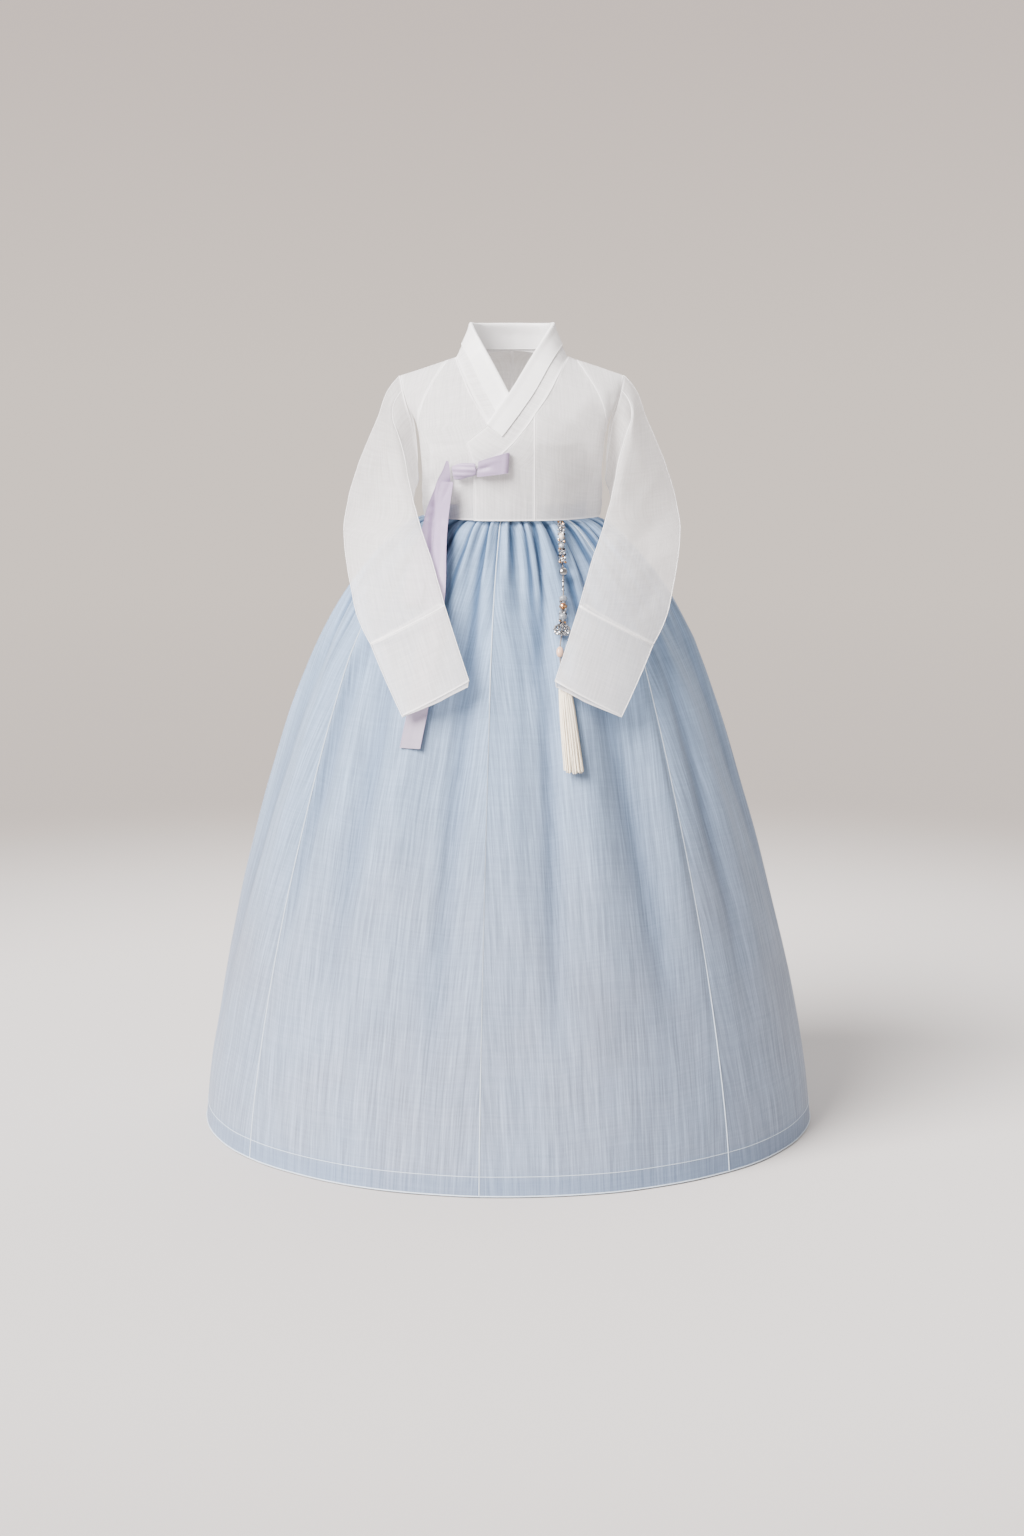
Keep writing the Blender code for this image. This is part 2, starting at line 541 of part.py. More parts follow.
def collar_stations():
    """Stations of the band.  Behind the neck they stand at the back panels' own points."""
    fine = np.linspace(3.0, 5.0, 401)
    seam_x = -COLLAR.at("seam_x", fine)
    right = [float(np.interp(-x, -seam_x, fine)) for x in NECK_COLUMNS[-2::-1]]
    left = [10.0 - station for station in right[-2::-1]]
    front = np.array([0, 0.5, 1, 1.25, 1.5, 2, 2.5, 2.75, 3])
    return np.array([*front, *right, *left, 7, 7.25, 7.5, 8, 8.5, 8.75, 9, 9.5, 10, 10.5, 11])


def across_band(points, normals, share, depth):
    """A point at a share of the way over the band, set in by a depth from its outer face."""
    place = share * (len(points) - 1)
    low = min(int(place), len(points) - 2)
    part = place - low
    point = points[low] * (1 - part) + points[low + 1] * part
    normal = normals[low] * (1 - part) + normals[low + 1] * part
    return point - normal * depth


def make_collar(finish, white):
    stations = collar_stations()
    outer = np.array([collar_section(station, COLLAR_COLUMNS) for station in stations])
    normal = grid_normals(outer)
    if normal[0, 0, 1] > 0:
        normal = -normal
    wall("collar_band", outer, outer - normal * JACKET_CLOTH, finish)

    # The white strip: down the outside of the band, over its top edge and down the inside
    keep = (stations >= TRIM_START) & (stations <= TRIM_END)
    near, far = TRIM_GAP, TRIM_GAP + TRIM_CLOTH
    layers = {near: [], far: []}
    for points, normals, station in zip(outer[keep], normal[keep], stations[keep]):
        width = np.linalg.norm(points[-1] - points[0])
        turned_in = float(COLLAR.at("inside", station)) / width
        over = unit(points[-1] - points[-2])
        for off, rows in layers.items():
            row = [across_band(points, normals, share, -off) for share in (0.4, 0.6, 0.8)]
            row.append(points[-1] + over * off + normals[-1] * off)
            row.append(points[-1] + over * off - normals[-1] * (JACKET_CLOTH + off))
            row += [across_band(points, normals, 1 - turned_in * part, JACKET_CLOTH + off)
                    for part in (0.5, 1.0)]
            rows.append(row)
    wall("collar_trim", np.array(layers[far]), np.array(layers[near]), white)


# ---------------------------------------------------------------- skirt
def skirt_edge_y(x, z, clearance=0.0):
    """y of the skirt's front, moved out by a clearance, at x and z."""
    width = SKIRT.at("width", z) + clearance
    depth = SKIRT.at("front", z) + clearance
    across = np.clip((x - SKIRT_X) / width, -1, 1)
    return -depth * np.sqrt(1 - across ** 2)


def pleat_angles():
    """Angle of each column round the skirt.  The pleats are even along the gathered waist."""
    fine = np.linspace(0, 2 * pi, 2881)
    middle = (fine[1:] + fine[:-1]) / 2
    piece = np.hypot(WAIST[0] * np.cos(middle), WAIST[1] * np.sin(middle)) * np.diff(fine)
    length = np.concatenate([[0], np.cumsum(piece)])
    start = np.interp(FIRST_SEAM % (2 * pi), fine, length)
    place = np.array([pleat + part for pleat in range(PLEATS) for part in PLEAT_COLUMNS] + [PLEATS])
    wanted = start + place / PLEATS * length[-1]
    turns = np.floor(wanted / length[-1])
    return place, np.interp(wanted - turns * length[-1], length, fine) + turns * 2 * pi


def fold_depth(place, z):
    """How far the cloth lies behind the ridges at a place round the skirt, counted in pleats."""
    opening = np.clip((VALLEY_OPENS[0] - z) / (VALLEY_OPENS[0] - VALLEY_OPENS[1]), 0, 1)
    wide = NARROW_VALLEY + (WIDE_VALLEY - NARROW_VALLEY) * opening
    depth = 0.0
    for valley in range(-BROAD_EVERY, PLEATS + BROAD_EVERY + 1):
        broad = valley % BROAD_EVERY == 1
        strength = 1.0 + 0.22 * sin(2.4 * (valley % PLEATS))
        half = wide if broad else NARROW_VALLEY
        size = float(SKIRT.at("broad" if broad else "pleat", z)) * strength
        depth = max(depth, size * np.exp(-0.5 * ((place - valley) / half) ** 2))
    return depth


def skirt_point(place, angle, z, inward):
    width, front, back = (float(SKIRT.at(name, z)) for name in ("width", "front", "back"))
    deep = front if cos(angle) > 0 else back
    point = np.array([width * sin(angle), -deep * cos(angle)])
    length = np.linalg.norm(point)
    point *= (length - inward - fold_depth(place, z)) / length
    return (SKIRT_X + point[0], point[1], z)


def make_skirt(finish):
    places, angles = pleat_angles()
    heights = SKIRT.keys
    per_panel = PLEATS_PER_PANEL * len(PLEAT_COLUMNS)
    for panel in range(PANELS):
        first = panel * per_panel
        chosen = range(first, first + per_panel + 1)
        thickness = np.where(heights <= HEM_ROW, HEM_CLOTH, SKIRT_CLOTH)
        outer = np.array([[skirt_point(places[i], angles[i], z, 0) for i in chosen] for z in heights])
        inner = np.array([[skirt_point(places[i], angles[i], z, thick) for i in chosen]
                          for z, thick in zip(heights, thickness)])
        for grid in (outer, inner):
            for edge, neighbour in ((0, 1), (-1, -2)):
                grid[:, edge] += unit(grid[:, neighbour] - grid[:, edge]) * SEAM_GAP / 2
        wall(f"skirt_panel_{panel + 1}", outer, inner, finish)


def make_band(finish):
    width, front, back = BAND_AXES
    angles = np.linspace(0, 2 * pi, 28, endpoint=False)

    def ring(z, inward):
        return [(SKIRT_X + (width - inward) * sin(a),
                 -((front if cos(a) > 0 else back) - inward) * cos(a), z) for a in angles]

    levels = (BAND_BOTTOM, BAND_TOP)
    outer = np.array([ring(z, 0) for z in levels])
    inner = np.array([ring(z, BAND_CLOTH) for z in levels])
    wall("skirt_band", outer, inner, finish, around=True)


# ---------------------------------------------------------------- sleeves
def armhole_ring():
    """The sleeve's first ring, along the armhole's edge."""
    front = np.linspace(1.0, CREASE_LEVEL, FRONT_STEPS + 1)[:-1]
    recess = np.linspace(CREASE_LEVEL, ARMPIT_LEVEL, RECESS_STEPS + 1)[:-1]
    back = np.linspace(ARMPIT_LEVEL, 1.0, BACK_STEPS + 1)[:-1]
    ring = []
    for levels, side in ((front, -1), (recess, -1), (back, 1)):
        points = body_point(side, np.full(len(levels), pi / 2), levels)
        points[:, 0] += ARMHOLE_GAP
        ring.extend(points)
    return ring


def sleeve_ring(number):
    value = {name: float(SLEEVE.at(name, number)) for name in SLEEVE.columns}
    outer, crease, under = (np.array([value[f"{part}_{axis}"] for axis in "xyz"])
                            for part in ("outer", "crease", "under"))
    ring = []
    stretches = ((outer, crease, FRONT_STEPS, -value["front"]),
                 (crease, under, RECESS_STEPS, -value["recess"]),
                 (under, outer, BACK_STEPS, value["back"]))
    for start, end, steps, swell in stretches:
        for step in range(steps):
            share = step / steps
            point = start + (end - start) * share
            point[1] += swell * sin(pi * share) ** 0.7
            ring.append(point)
    return ring


def clear_of_skirt(grid, clearance):
    """Points in front of the skirt are kept the clearance away from it, on either hand."""
    x, z = grid[..., 0] + 2 * SKIRT_X, grid[..., 2]
    limit = skirt_edge_y(x, z, clearance)
    near = (z < -0.262) & (np.abs(x - SKIRT_X) < SKIRT.at("width", z) + clearance)
    grid[..., 1] = np.where(near, np.minimum(grid[..., 1], limit), grid[..., 1])
    return grid


def make_sleeves(finish):
    whole = np.array([armhole_ring()] + [sleeve_ring(number) for number in SLEEVE.keys])
    whole = clear_of_skirt(whole, SLEEVE_CLEARANCE)
    normal = tube_normals(whole)
    if normal[4, 1, 1] > 0:
        normal = -normal
    normal[0, :, 0] = 0.0
    normal[0] = unit(normal[0])        # the first ring's wall stays in the armhole's plane
    inner = whole - normal * JACKET_CLOTH
    for hand, mirror in (("left", 1), ("right", -1)):
        turn = np.array([mirror, 1, 1])
        seam = CUFF_SEAM_RING + 1
        wall(f"sleeve_{hand}", whole[:seam] * turn, inner[:seam] * turn, finish, around=True)
        outer_cuff, inner_cuff = whole[seam - 1:].copy(), inner[seam - 1:].copy()
        for grid in (outer_cuff, inner_cuff):
            grid[0] += unit(grid[1] - grid[0]) * SEAM_GAP * 1.4
        wall(f"cuff_{hand}", outer_cuff * turn, inner_cuff * turn, finish, around=True)


# ---------------------------------------------------------------- ribbons
def front_surface_y(x, z):
    """y of the outermost cloth in front at x and z: the upper front, or the skirt below it."""
    x, z = np.float64(x), np.float64(z)
    skirt = float(skirt_edge_y(x, z))
    if z < JACKET_HEM - 0.004:
        return skirt
    chest = chest_point(np.array([x]), np.array([max(z, JACKET_HEM)]), np.array([OVERLAP_LIFT]))
    return min(float(chest[0, 1]), skirt)


def ribbon_wall(name, grid, finish):
    normal = grid_normals(grid)
    wall(name, grid, grid - normal * RIBBON_CLOTH, finish)


def tail_grid(table, steps):
    """Rows across a hanging tail: three points each, turned about the ribbon's length."""
    rows = []
    for z in np.linspace(table.keys[0], table.keys[-1], steps):
        x, width, turn, lift = (float(table.at(name, z)) for name in ("x", "width", "turn", "lift"))
        lift += RIBBON_CLOTH
        across = width / 2 * cos(radians(turn))
        reach = width / 2 * sin(radians(turn))
        flat = np.clip((z - TAIL_FOLLOWS[0]) / (TAIL_FOLLOWS[1] - TAIL_FOLLOWS[0]), 0, 1)
        heights = [z + step for step in (-0.004, 0, 0.004)]
        middle = min(front_surface_y(x, height) for height in heights)
        row = []
        for part in (-1, 0, 1):
            px = x + part * across
            surface = min(front_surface_y(px, height) for height in heights)
            y = flat * min(middle, surface) + (1 - flat) * surface
            row.append((px, y - lift - abs(reach) - part * reach, z))
        rows.append(row)
    return np.array(rows)


def make_ribbons(finish):
    ribbon_wall("ribbon_tail_long", tail_grid(LONG_TAIL, 20), finish)
    ribbon_wall("ribbon_tail_short", tail_grid(SHORT_TAIL, 15), finish)
    make_loop(finish)
    make_knot(finish)


def make_loop(finish):
    """The tied loop: the ribbon runs out from the knot, turns back on itself and returns."""
    start_x, end_x = -0.0530, -0.0090
    back, front = 0.0030, 0.0105
    fold = 0.0035
    rows = []
    out_steps, turn_steps = 6, 4
    for step in range(out_steps + 1):
        share = step / out_steps
        rows.append((share, back + 0.0020 * (1 - share), 0.0))
    for step in range(1, turn_steps):
        swing = pi * step / turn_steps
        rows.append((1.0, (back + front) / 2 - (front - back) / 2 * cos(swing), fold * sin(swing)))
    for step in range(out_steps + 1):
        share = 1 - step / out_steps
        rows.append((share, front - 0.0020 * (1 - share), 0.0))
    grid = []
    for share, off, past in rows:
        half = (0.0225 + (RIBBON_WIDTH - 0.0225) * share ** 0.7) / 2
        x = start_x + (end_x - start_x) * share + past
        middle_z = -0.1700 + 0.0095 * share
        base = min(front_surface_y(x, middle_z + part * half) for part in (-1, 0, 1))
        grid.append([(x + part * 0.0012, base - off, middle_z + part * half) for part in (-1, 0, 1)])
    grid = np.array(grid)
    normal = grid_normals(grid)
    wall("ribbon_loop", grid, grid + normal * RIBBON_CLOTH * np.sign(normal[0, 0, 1]), finish)


def make_knot(finish):
    """The knot, a band wrapped round the tails' upper ends."""
    left, right = np.array([-0.0925, -0.1765]), np.array([-0.0560, -0.1695])
    rings = []
    for share in np.linspace(0, 1, 7):
        x, z = left + (right - left) * share
        bulge = 0.80 + 0.20 * sin(pi * min(share * 1.15, 1.0))
        height = (0.0265 - 0.0035 * share) / 2 * bulge
        depth = 0.0058 * bulge
        middle = front_surface_y(x, z) - 0.0072
        rings.append([(x - 0.15 * height * cos(a), middle - depth * sin(a), z + height * cos(a))
                      for a in np.linspace(0, 2 * pi, 12, endpoint=False)])
    loft("ribbon_knot", rings, finish)


# ---------------------------------------------------------------- beads, ornament and tassel
def cord_point(z):
    """The cord's axis at a height."""
    return np.array([float(CORD_PATH.at("x", z)), float(CORD_PATH.at("y", z)), z])


def cord_frame(z):
    """Axis point of the cord with its direction and two directions square to it."""
    along = unit(cord_point(z - 0.001) - cord_point(z + 0.001))
    side = unit(np.cross(along, (0.0, 1.0, 0.0)))
    return cord_point(z), along, side, np.cross(along, side)


def make_cord(finish):
    """The cord, a round tube along its route with a point every two or three diameters."""
    curve = bpy.data.curves.new("norigae_cord", "CURVE")
    curve.dimensions = "3D"
    curve.bevel_depth = CORD_RADIUS
    curve.bevel_resolution = 2
    curve.use_fill_caps = True
    line = curve.splines.new("POLY")
    line.points.add(CORD_POINTS - 1)
    for point, z in zip(line.points, np.linspace(CORD_PATH.keys[-1], CORD_PATH.keys[0], CORD_POINTS)):
        point.co = (*cord_point(z), 1.0)
    curve.materials.append(finish)
    bpy.context.scene.collection.objects.link(bpy.data.objects.new("norigae_cord", curve))


def make_bead(number, z, diameter, length, finish, sides=8):
    """A bead with its hole, turned about the cord."""
    centre, along, side, up = cord_frame(z)
    profile = [(BEAD_HOLE, -0.5), (0.36 * diameter, -0.5), (0.5 * diameter, -0.2), (0.5 * diameter, 0.2),
               (0.36 * diameter, 0.5), (BEAD_HOLE, 0.5)]
    turns = np.linspace(0, 2 * pi, sides, endpoint=False)
    points = [centre + along * reach * length + side * radius * cos(a) + up * radius * sin(a)
              for radius, reach in profile for a in turns]
    rows = len(profile)
    faces = []
    for row in range(rows):
        for turn in range(sides):
            after_row, after = (row + 1) % rows, (turn + 1) % sides
            faces.append((row * sides + turn, row * sides + after,
                          after_row * sides + after, after_row * sides + turn))
    add_object(f"norigae_bead_{number:02d}", points, faces, finish)


def make_ornament(finish):
    """A lobed open ring that hangs in front of the cord."""
    centre, along, side, up = cord_frame(ORNAMENT_Z)
    if up[1] > 0:
        up = -up
    half_width, half_height, off_cord, thickness = 0.0140, 0.0098, 0.0041, 0.0021
    turns = np.linspace(0, 2 * pi, 28, endpoint=False)
    section = np.linspace(0, 2 * pi, 8, endpoint=False)
    grid = []
    for turn in turns:
        lobes = 1 - 0.14 * cos(4 * turn)
        outward = unit(side * cos(turn) * half_height + along * sin(turn) * half_width)
        radius = side * half_width * cos(turn) + along * half_height * sin(turn)
        middle = centre + radius * lobes + up * off_cord
        grid.append([middle + (outward * cos(a) + up * sin(a)) * thickness for a in section])
    points = np.array(grid).reshape(-1, 3)
    columns = len(section)
    faces = []
    for row in range(len(turns)):
        for column in range(columns):
            a, b = row * columns + column, row * columns + (column + 1) % columns
            c, d = (b + columns) % len(points), (a + columns) % len(points)
            faces.append((a, b, c, d))
    add_object("norigae_ornament", points, faces, finish)


def make_tassel(finish, cap_finish):
    """Strands that hang apart from a fused head, and the turned cap over the head."""
    x = 0.0800
    top_z, head_z, end_z = -0.4960, -0.5080, -0.6200
    lean_x, swell = 0.0140, 1.45
    head_x_radius, head_y_radius = 0.0112, 0.0072

    def axis(z):
        share = (top_z - z) / (top_z - end_z)
        px = x + lean_x * share
        off = head_y_radius * (1 + (swell - 1) * share) + 0.0014
        return np.array([px, float(skirt_edge_y(px, z)) - off, z])

    sides = 18
    mesh_rings = []
    for z, grow in ((top_z, 0.70), (top_z - 0.004, 0.96), (head_z, 1.0)):
        middle = axis(z)
        mesh_rings.append([middle + (head_x_radius * grow * cos(2 * pi * i / sides),
                                     head_y_radius * grow * sin(2 * pi * i / sides), 0)
                           for i in range(sides)])
    points = [tuple(point) for ring in mesh_rings for point in ring]
    work = bmesh.new()
    verts = [work.verts.new(point) for point in points]
    work.faces.new(verts[:sides])
    for row in range(len(mesh_rings) - 1):
        for i in range(sides):
            j = (i + 1) % sides
            work.faces.new([verts[row * sides + k] for k in (i, j)]
                           + [verts[(row + 1) * sides + k] for k in (j, i)])
    # The underside of the head: rings of small squares, each drawn out into a strand
    rim = verts[(len(mesh_rings) - 1) * sides:]
    loops = [rim]
    middle = axis(head_z)
    for grow in (0.70, 0.40):
        loops.append([work.verts.new(middle + (head_x_radius * grow * cos(2 * pi * i / sides),
                                               head_y_radius * grow * sin(2 * pi * i / sides), 0))
                      for i in range(sides)])
    squares = []
    for ring, (outside, inside) in enumerate(zip(loops, loops[1:])):
        for i in range(sides):
            j = (i + 1) % sides
            squares.append((ring, i, work.faces.new((outside[i], outside[j], inside[j], inside[i]))))
    work.faces.new(loops[-1])
    work.normal_update()
    chosen = [face for ring, i, face in squares if (i + ring) % 2 == 0 or ring == 0]
    bmesh.ops.inset_individual(work, faces=chosen, thickness=0.00035, depth=0.0)
    for number, face in enumerate(chosen):
        drawn = face
        length = (head_z - end_z) * (1.0 - 0.015 * (number % 3))
        root = face.calc_center_median()
        offset = np.array(root) - middle
        for share in (0.35, 1.0):
            result = bmesh.ops.extrude_discrete_faces(work, faces=[drawn])
            drawn = result["faces"][0]
            z = head_z - length * share
            goal = axis(z) + offset * (1 + (swell - 1) * share * 1.0)
            goal[2] = z
            shift = goal - np.array(drawn.calc_center_median())
            bmesh.ops.translate(work, verts=drawn.verts, vec=tuple(shift))
    bmesh.ops.recalc_face_normals(work, faces=work.faces)
    mesh = bpy.data.meshes.new("norigae_tassel")
    work.to_mesh(mesh)
    work.free()
    mesh.materials.append(finish)
    bpy.context.scene.collection.objects.link(bpy.data.objects.new("norigae_tassel", mesh))

    cap_top = cord_point(CORD_PATH.keys[0])
    rings = []
    for share, radius in ((0.0, 0.0030), (0.25, 0.0058), (0.9, 0.0066), (1.0, 0.0050)):
        goal = axis(top_z + SEAM_GAP * 1.2)
        centre = (cap_top - (0, 0, 0.0008)) * (1 - share) + goal * share
        rings.append([centre + (radius * cos(2 * pi * i / 12), radius * sin(2 * pi * i / 12), 0)
                      for i in range(12)])
    loft("norigae_cap", rings, cap_finish)


def main():
    clear_scene()
    ramie = material("jacket_cloth", (0.80, 0.80, 0.79), 0.75)
    white = material("collar_white", (0.90, 0.90, 0.91), 0.55)
    blue = material("skirt_cloth", (0.50, 0.62, 0.76), 0.78)
    band = material("band_cloth", (0.86, 0.86, 0.85), 0.80)
    lilac = material("ribbon_silk", (0.66, 0.62, 0.74), 0.55)
    silver = material("silver", (0.80, 0.79, 0.78), 0.25, 1.0)
    cream = material("tassel_silk", (0.86, 0.83, 0.74), 0.60)
    make_backs(ramie)
    make_fronts(ramie)
    make_collar(ramie, white)
    make_sleeves(ramie)
    make_band(band)
    make_skirt(blue)
    make_ribbons(lilac)
    make_cord(cream)
    for number, (z, diameter, length) in enumerate(BEADS, start=1):
        make_bead(number, z, diameter, length, silver)
    make_ornament(silver)
    make_tassel(cream, silver)


main()
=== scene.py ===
"""Looks of a woman's hanbok: sheer ramie jacket, pleated skirt, tied silk ribbons and a beaded tassel."""
from math import cos, pi, radians, sin

import bmesh
import bpy
import numpy as np
from mathutils import Matrix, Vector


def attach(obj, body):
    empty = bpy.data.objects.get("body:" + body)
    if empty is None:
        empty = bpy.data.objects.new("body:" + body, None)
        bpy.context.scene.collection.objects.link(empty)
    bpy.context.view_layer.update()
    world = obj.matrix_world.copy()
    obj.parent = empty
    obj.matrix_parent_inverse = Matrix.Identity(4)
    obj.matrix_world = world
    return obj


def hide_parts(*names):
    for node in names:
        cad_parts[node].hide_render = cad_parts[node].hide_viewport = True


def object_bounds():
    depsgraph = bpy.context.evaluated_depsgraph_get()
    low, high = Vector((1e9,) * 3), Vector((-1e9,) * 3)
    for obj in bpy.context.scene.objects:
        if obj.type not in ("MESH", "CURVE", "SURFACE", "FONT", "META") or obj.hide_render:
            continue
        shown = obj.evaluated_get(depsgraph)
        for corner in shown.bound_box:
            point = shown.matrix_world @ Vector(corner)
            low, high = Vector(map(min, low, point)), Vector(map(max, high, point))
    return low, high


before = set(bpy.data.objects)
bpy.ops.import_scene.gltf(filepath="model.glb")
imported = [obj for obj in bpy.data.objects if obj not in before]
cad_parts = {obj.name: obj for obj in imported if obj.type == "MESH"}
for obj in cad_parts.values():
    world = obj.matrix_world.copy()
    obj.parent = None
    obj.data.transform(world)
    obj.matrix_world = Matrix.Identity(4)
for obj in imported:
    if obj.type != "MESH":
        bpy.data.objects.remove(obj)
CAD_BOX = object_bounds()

BODY = "root"
JACKET_STEP = 0.0032         # spacing of the points on jacket cloth
SKIRT_STEP = (0.0080, 0.0036)    # spacing down and round the skirt
SKIRT_SHELL = 0.0005         # thickness of the skirt's cloth, and below of the others'
TRIM_SHELL = 0.0004
RIBBON_SHELL = 0.0004
BAND_SHELL = 0.0012
ALLOWANCE = 0.0020           # width of the doubled cloth beside a seam
HEM_FOLD = 0.029             # depth of the skirt's folded hem
UP, FRONT = np.array((0.0, 0.0, 1.0)), np.array((0.0, -1.0, 0.0))

CAMERA_PLACE = (0.0, -4.5, 0.059)
CAMERA_DOWN = 9.09           # degrees below level
CAMERA_LENS, CAMERA_SENSOR = 65.67, 36.0
FLOOR_GAP = 0.0025           # the hem clears the floor by this much
FLOOR_RADIUS = 60.0
FLOOR_PAPER = (0.52, 0.50, 0.49)
FLOOR_FADE = (1.2, 3.2)      # distances from the middle between which the floor fades out
BACKDROP_FADE = (2.5, 9.0)   # and the backdrop's colour turns from near to far

RAMIE_WHITE = (0.84, 0.83, 0.84)
TRIM_WHITE = (0.97, 0.97, 0.98)
SKIRT_BLUE = (0.23, 0.35, 0.54)
SKIRT_PALE = (0.235, 0.272, 0.355)
# painted shade for the skirt's fold valleys, and the deeper blue of its doubled hem
SKIRT_SHADE_AND_DOUBLED = (0.035, 0.08, 0.165)
RIBBON_LILAC = (0.37, 0.285, 0.45)
TASSEL_CREAM = (0.93, 0.83, 0.66)
# the cord is coloured near-black brown so that it gives painted shade in the gaps between the beads
CORD_DARKENED_FOR_SHADE = (0.16, 0.13, 0.11)
BACKDROP_FAR = (1.10, 0.96, 0.85)
BACKDROP_NEAR = (0.99, 0.86, 0.78)
BACKDROP_HIGH = (0.95, 0.80, 0.72)
AMBIENT = (0.66, 0.62, 0.61)   # light that the world gives, less than the colour it shows
RAMIE_COOL = (0.74, 0.77, 0.82)     # multiplies the jacket's white in its cooler patches
COVER_SPREAD = 0.07          # how unevenly a sheer cloth's threads cover
DOUBLED_COVER = 0.96         # of sheer cloth that a seam doubles
SKIRT_FADE = (-0.30, -0.95)  # heights between which the skirt turns paler
LOWER_SHADE_HEIGHTS = (-0.30, -0.50)  # heights between which painted shade darkens the ribbon towards its lower end


# ---------------- grids of points from the frame
def float_values(items, name):
    """A named vector of each of a mesh's points or the like, one to a row."""
    values = np.empty(len(items) * 3)
    items.foreach_get(name, values)
    return values.reshape(-1, 3)


def merged(node):
    """Points and triangles of a node, with the points that lie together merged."""
    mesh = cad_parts[node].data
    mesh.calc_loop_triangles()
    corners = np.empty(len(mesh.loop_triangles) * 3, dtype=np.int64)
    mesh.loop_triangles.foreach_get("vertices", corners)
    points = float_values(mesh.vertices, "co")
    _, first, where = np.unique(np.round(points, 6), axis=0, return_index=True, return_inverse=True)
    return points[first], where.reshape(-1)[corners].reshape(-1, 3)


def half_edges(triangles):
    third = {}
    for a, b, c in triangles.tolist():
        third[a, b], third[b, c], third[c, a] = c, a, b
    return third


def seed_pair(points, triangles, third):
    """A triangle of one face of a wall, and the points that lie behind its corners on the other."""
    apart = np.linalg.norm(points[:, None] - points[None], axis=-1)
    np.fill_diagonal(apart, np.inf)
    partner = apart.argmin(axis=1)
    gap = apart.min(axis=1)
    sides = np.linalg.norm(points[triangles] - points[np.roll(triangles, -1, axis=1)], axis=-1)
    for number in np.argsort(gap[triangles].max(axis=1) / sides.min(axis=1)):
        a, b, c = triangles[number].tolist()
        behind = [int(partner[corner]) for corner in (a, b, c)]
        if third.get((behind[1], behind[0])) == behind[2]:
            return (a, b, c), behind
    raise ValueError("no triangle has a twin behind it")


def sheets_of(points, triangles):
    """The two faces of a cloth wall, each as a list of triangles, without the wall's rims.  Both
    faces have the same pattern of triangles, so they are walked together from one pair."""
    third = half_edges(triangles)
    first, behind = seed_pair(points, triangles, third)
    pair = dict(zip(first, behind))
    seen = {frozenset(first): first}
    waiting = [(first[0], first[1]), (first[1], first[2]), (first[2], first[0])]
    while waiting:
        a, b = waiting.pop()
        met = third[b, a]
        if met in (pair[a], pair[b]):
            continue              # the wall's rim
        pair.setdefault(met, third[pair[a], pair[b]])
        if frozenset((a, b, met)) not in seen:
            seen[frozenset((a, b, met))] = (b, a, met)
            waiting += [(a, met), (met, b)]
    near = np.array(list(seen.values()))
    far = np.array([[pair[corner] for corner in reversed(triangle)] for triangle in seen.values()])
    return [near, far]


def rims_of(third):
    """Closed loops of the edges that only one triangle has."""
    after = {a: b for a, b in third if (b, a) not in third}
    loops = []
    while after:
        first = next(iter(after))
        loop, here = [], first
        while here in after:
            loop.append(here)
            here = after.pop(here)
        loops.append(loop)
    return loops


def next_corner(third, c, r, d):
    """The fourth corner of the square of cloth whose other corners are c, r and d."""
    return third[d, r] if third[c, r] == d else third[c, r]


def areas(points, triangles):
    a, b, c = (points[triangles[:, corner]] for corner in range(3))
    return np.cross(b - a, c - a) / 2


def outward_sheet(node, facing=None):
    """The face of a node's wall that looks the given way, or else the larger of the two."""
    points, triangles = merged(node)
    sheets = sheets_of(points, triangles)

    def rank(sheet):
        area = areas(points, sheet)
        return np.linalg.norm(area, axis=1).sum() if facing is None else (area @ facing).sum()
    return points, max(sheets, key=rank)


def walked(third, rim, across, down):
    """Rows of points from one corner of an open sheet, or None where it isn't a corner."""
    rows = [rim[:across + 1]]
    for step in range(1, down + 1):
        row = [rim[-step]]
        for c, r in zip(rows[-1], rows[-1][1:]):
            if (c, r) not in third or (third[c, r] == row[-1] and (row[-1], r) not in third):
                return None
            row.append(next_corner(third, c, r, row[-1]))
        rows.append(row)
    return rows


def turning_of(loop):
    """How sharply a closed line of points turns at each of them."""
    ahead = np.roll(loop, -1, axis=0) - loop
    ahead /= np.linalg.norm(ahead, axis=1, keepdims=True)
    return np.arccos(np.clip((ahead * np.roll(ahead, 1, axis=0)).sum(axis=1), -1, 1))


def corner_score(turning, across, down):
    """For each point of a rim, how well it and the three that follow it serve as the corners."""
    return sum(np.roll(turning, -shift) for shift in (0, across, across + down, 2 * across + down))


def open_grid(node):
    """Rows and columns of an open cloth wall, its first row on top.  Seen from outside, the
    rows go down and the columns go to the right."""
    points, triangles = outward_sheet(node)
    third = half_edges(triangles)
    rim, = rims_of(third)
    total = (len(rim) + 4) // 2
    count = len(np.unique(triangles))
    short = round((total - (total ** 2 - 4 * count) ** 0.5) / 2)
    turning = turning_of(points[rim])
    choices = []
    for across, down in ((short - 1, total - short - 1), (total - short - 1, short - 1)):
        score = corner_score(turning, across, down)
        choices += [(-value, start, across, down) for start, value in enumerate(score)]
    for _, start, across, down in sorted(choices):
        rows = walked(third, rim[start:] + rim[:start], across, down)
        if rows is not None and len(set(sum(rows, []))) == count:
            break
    grid = points[np.array(rows)][::-1]
    turns = [np.rot90(grid, turn) for turn in range(4)]
    return max(turns, key=lambda turned: (turned[0].mean(axis=0) - turned[-1].mean(axis=0)) @ UP)


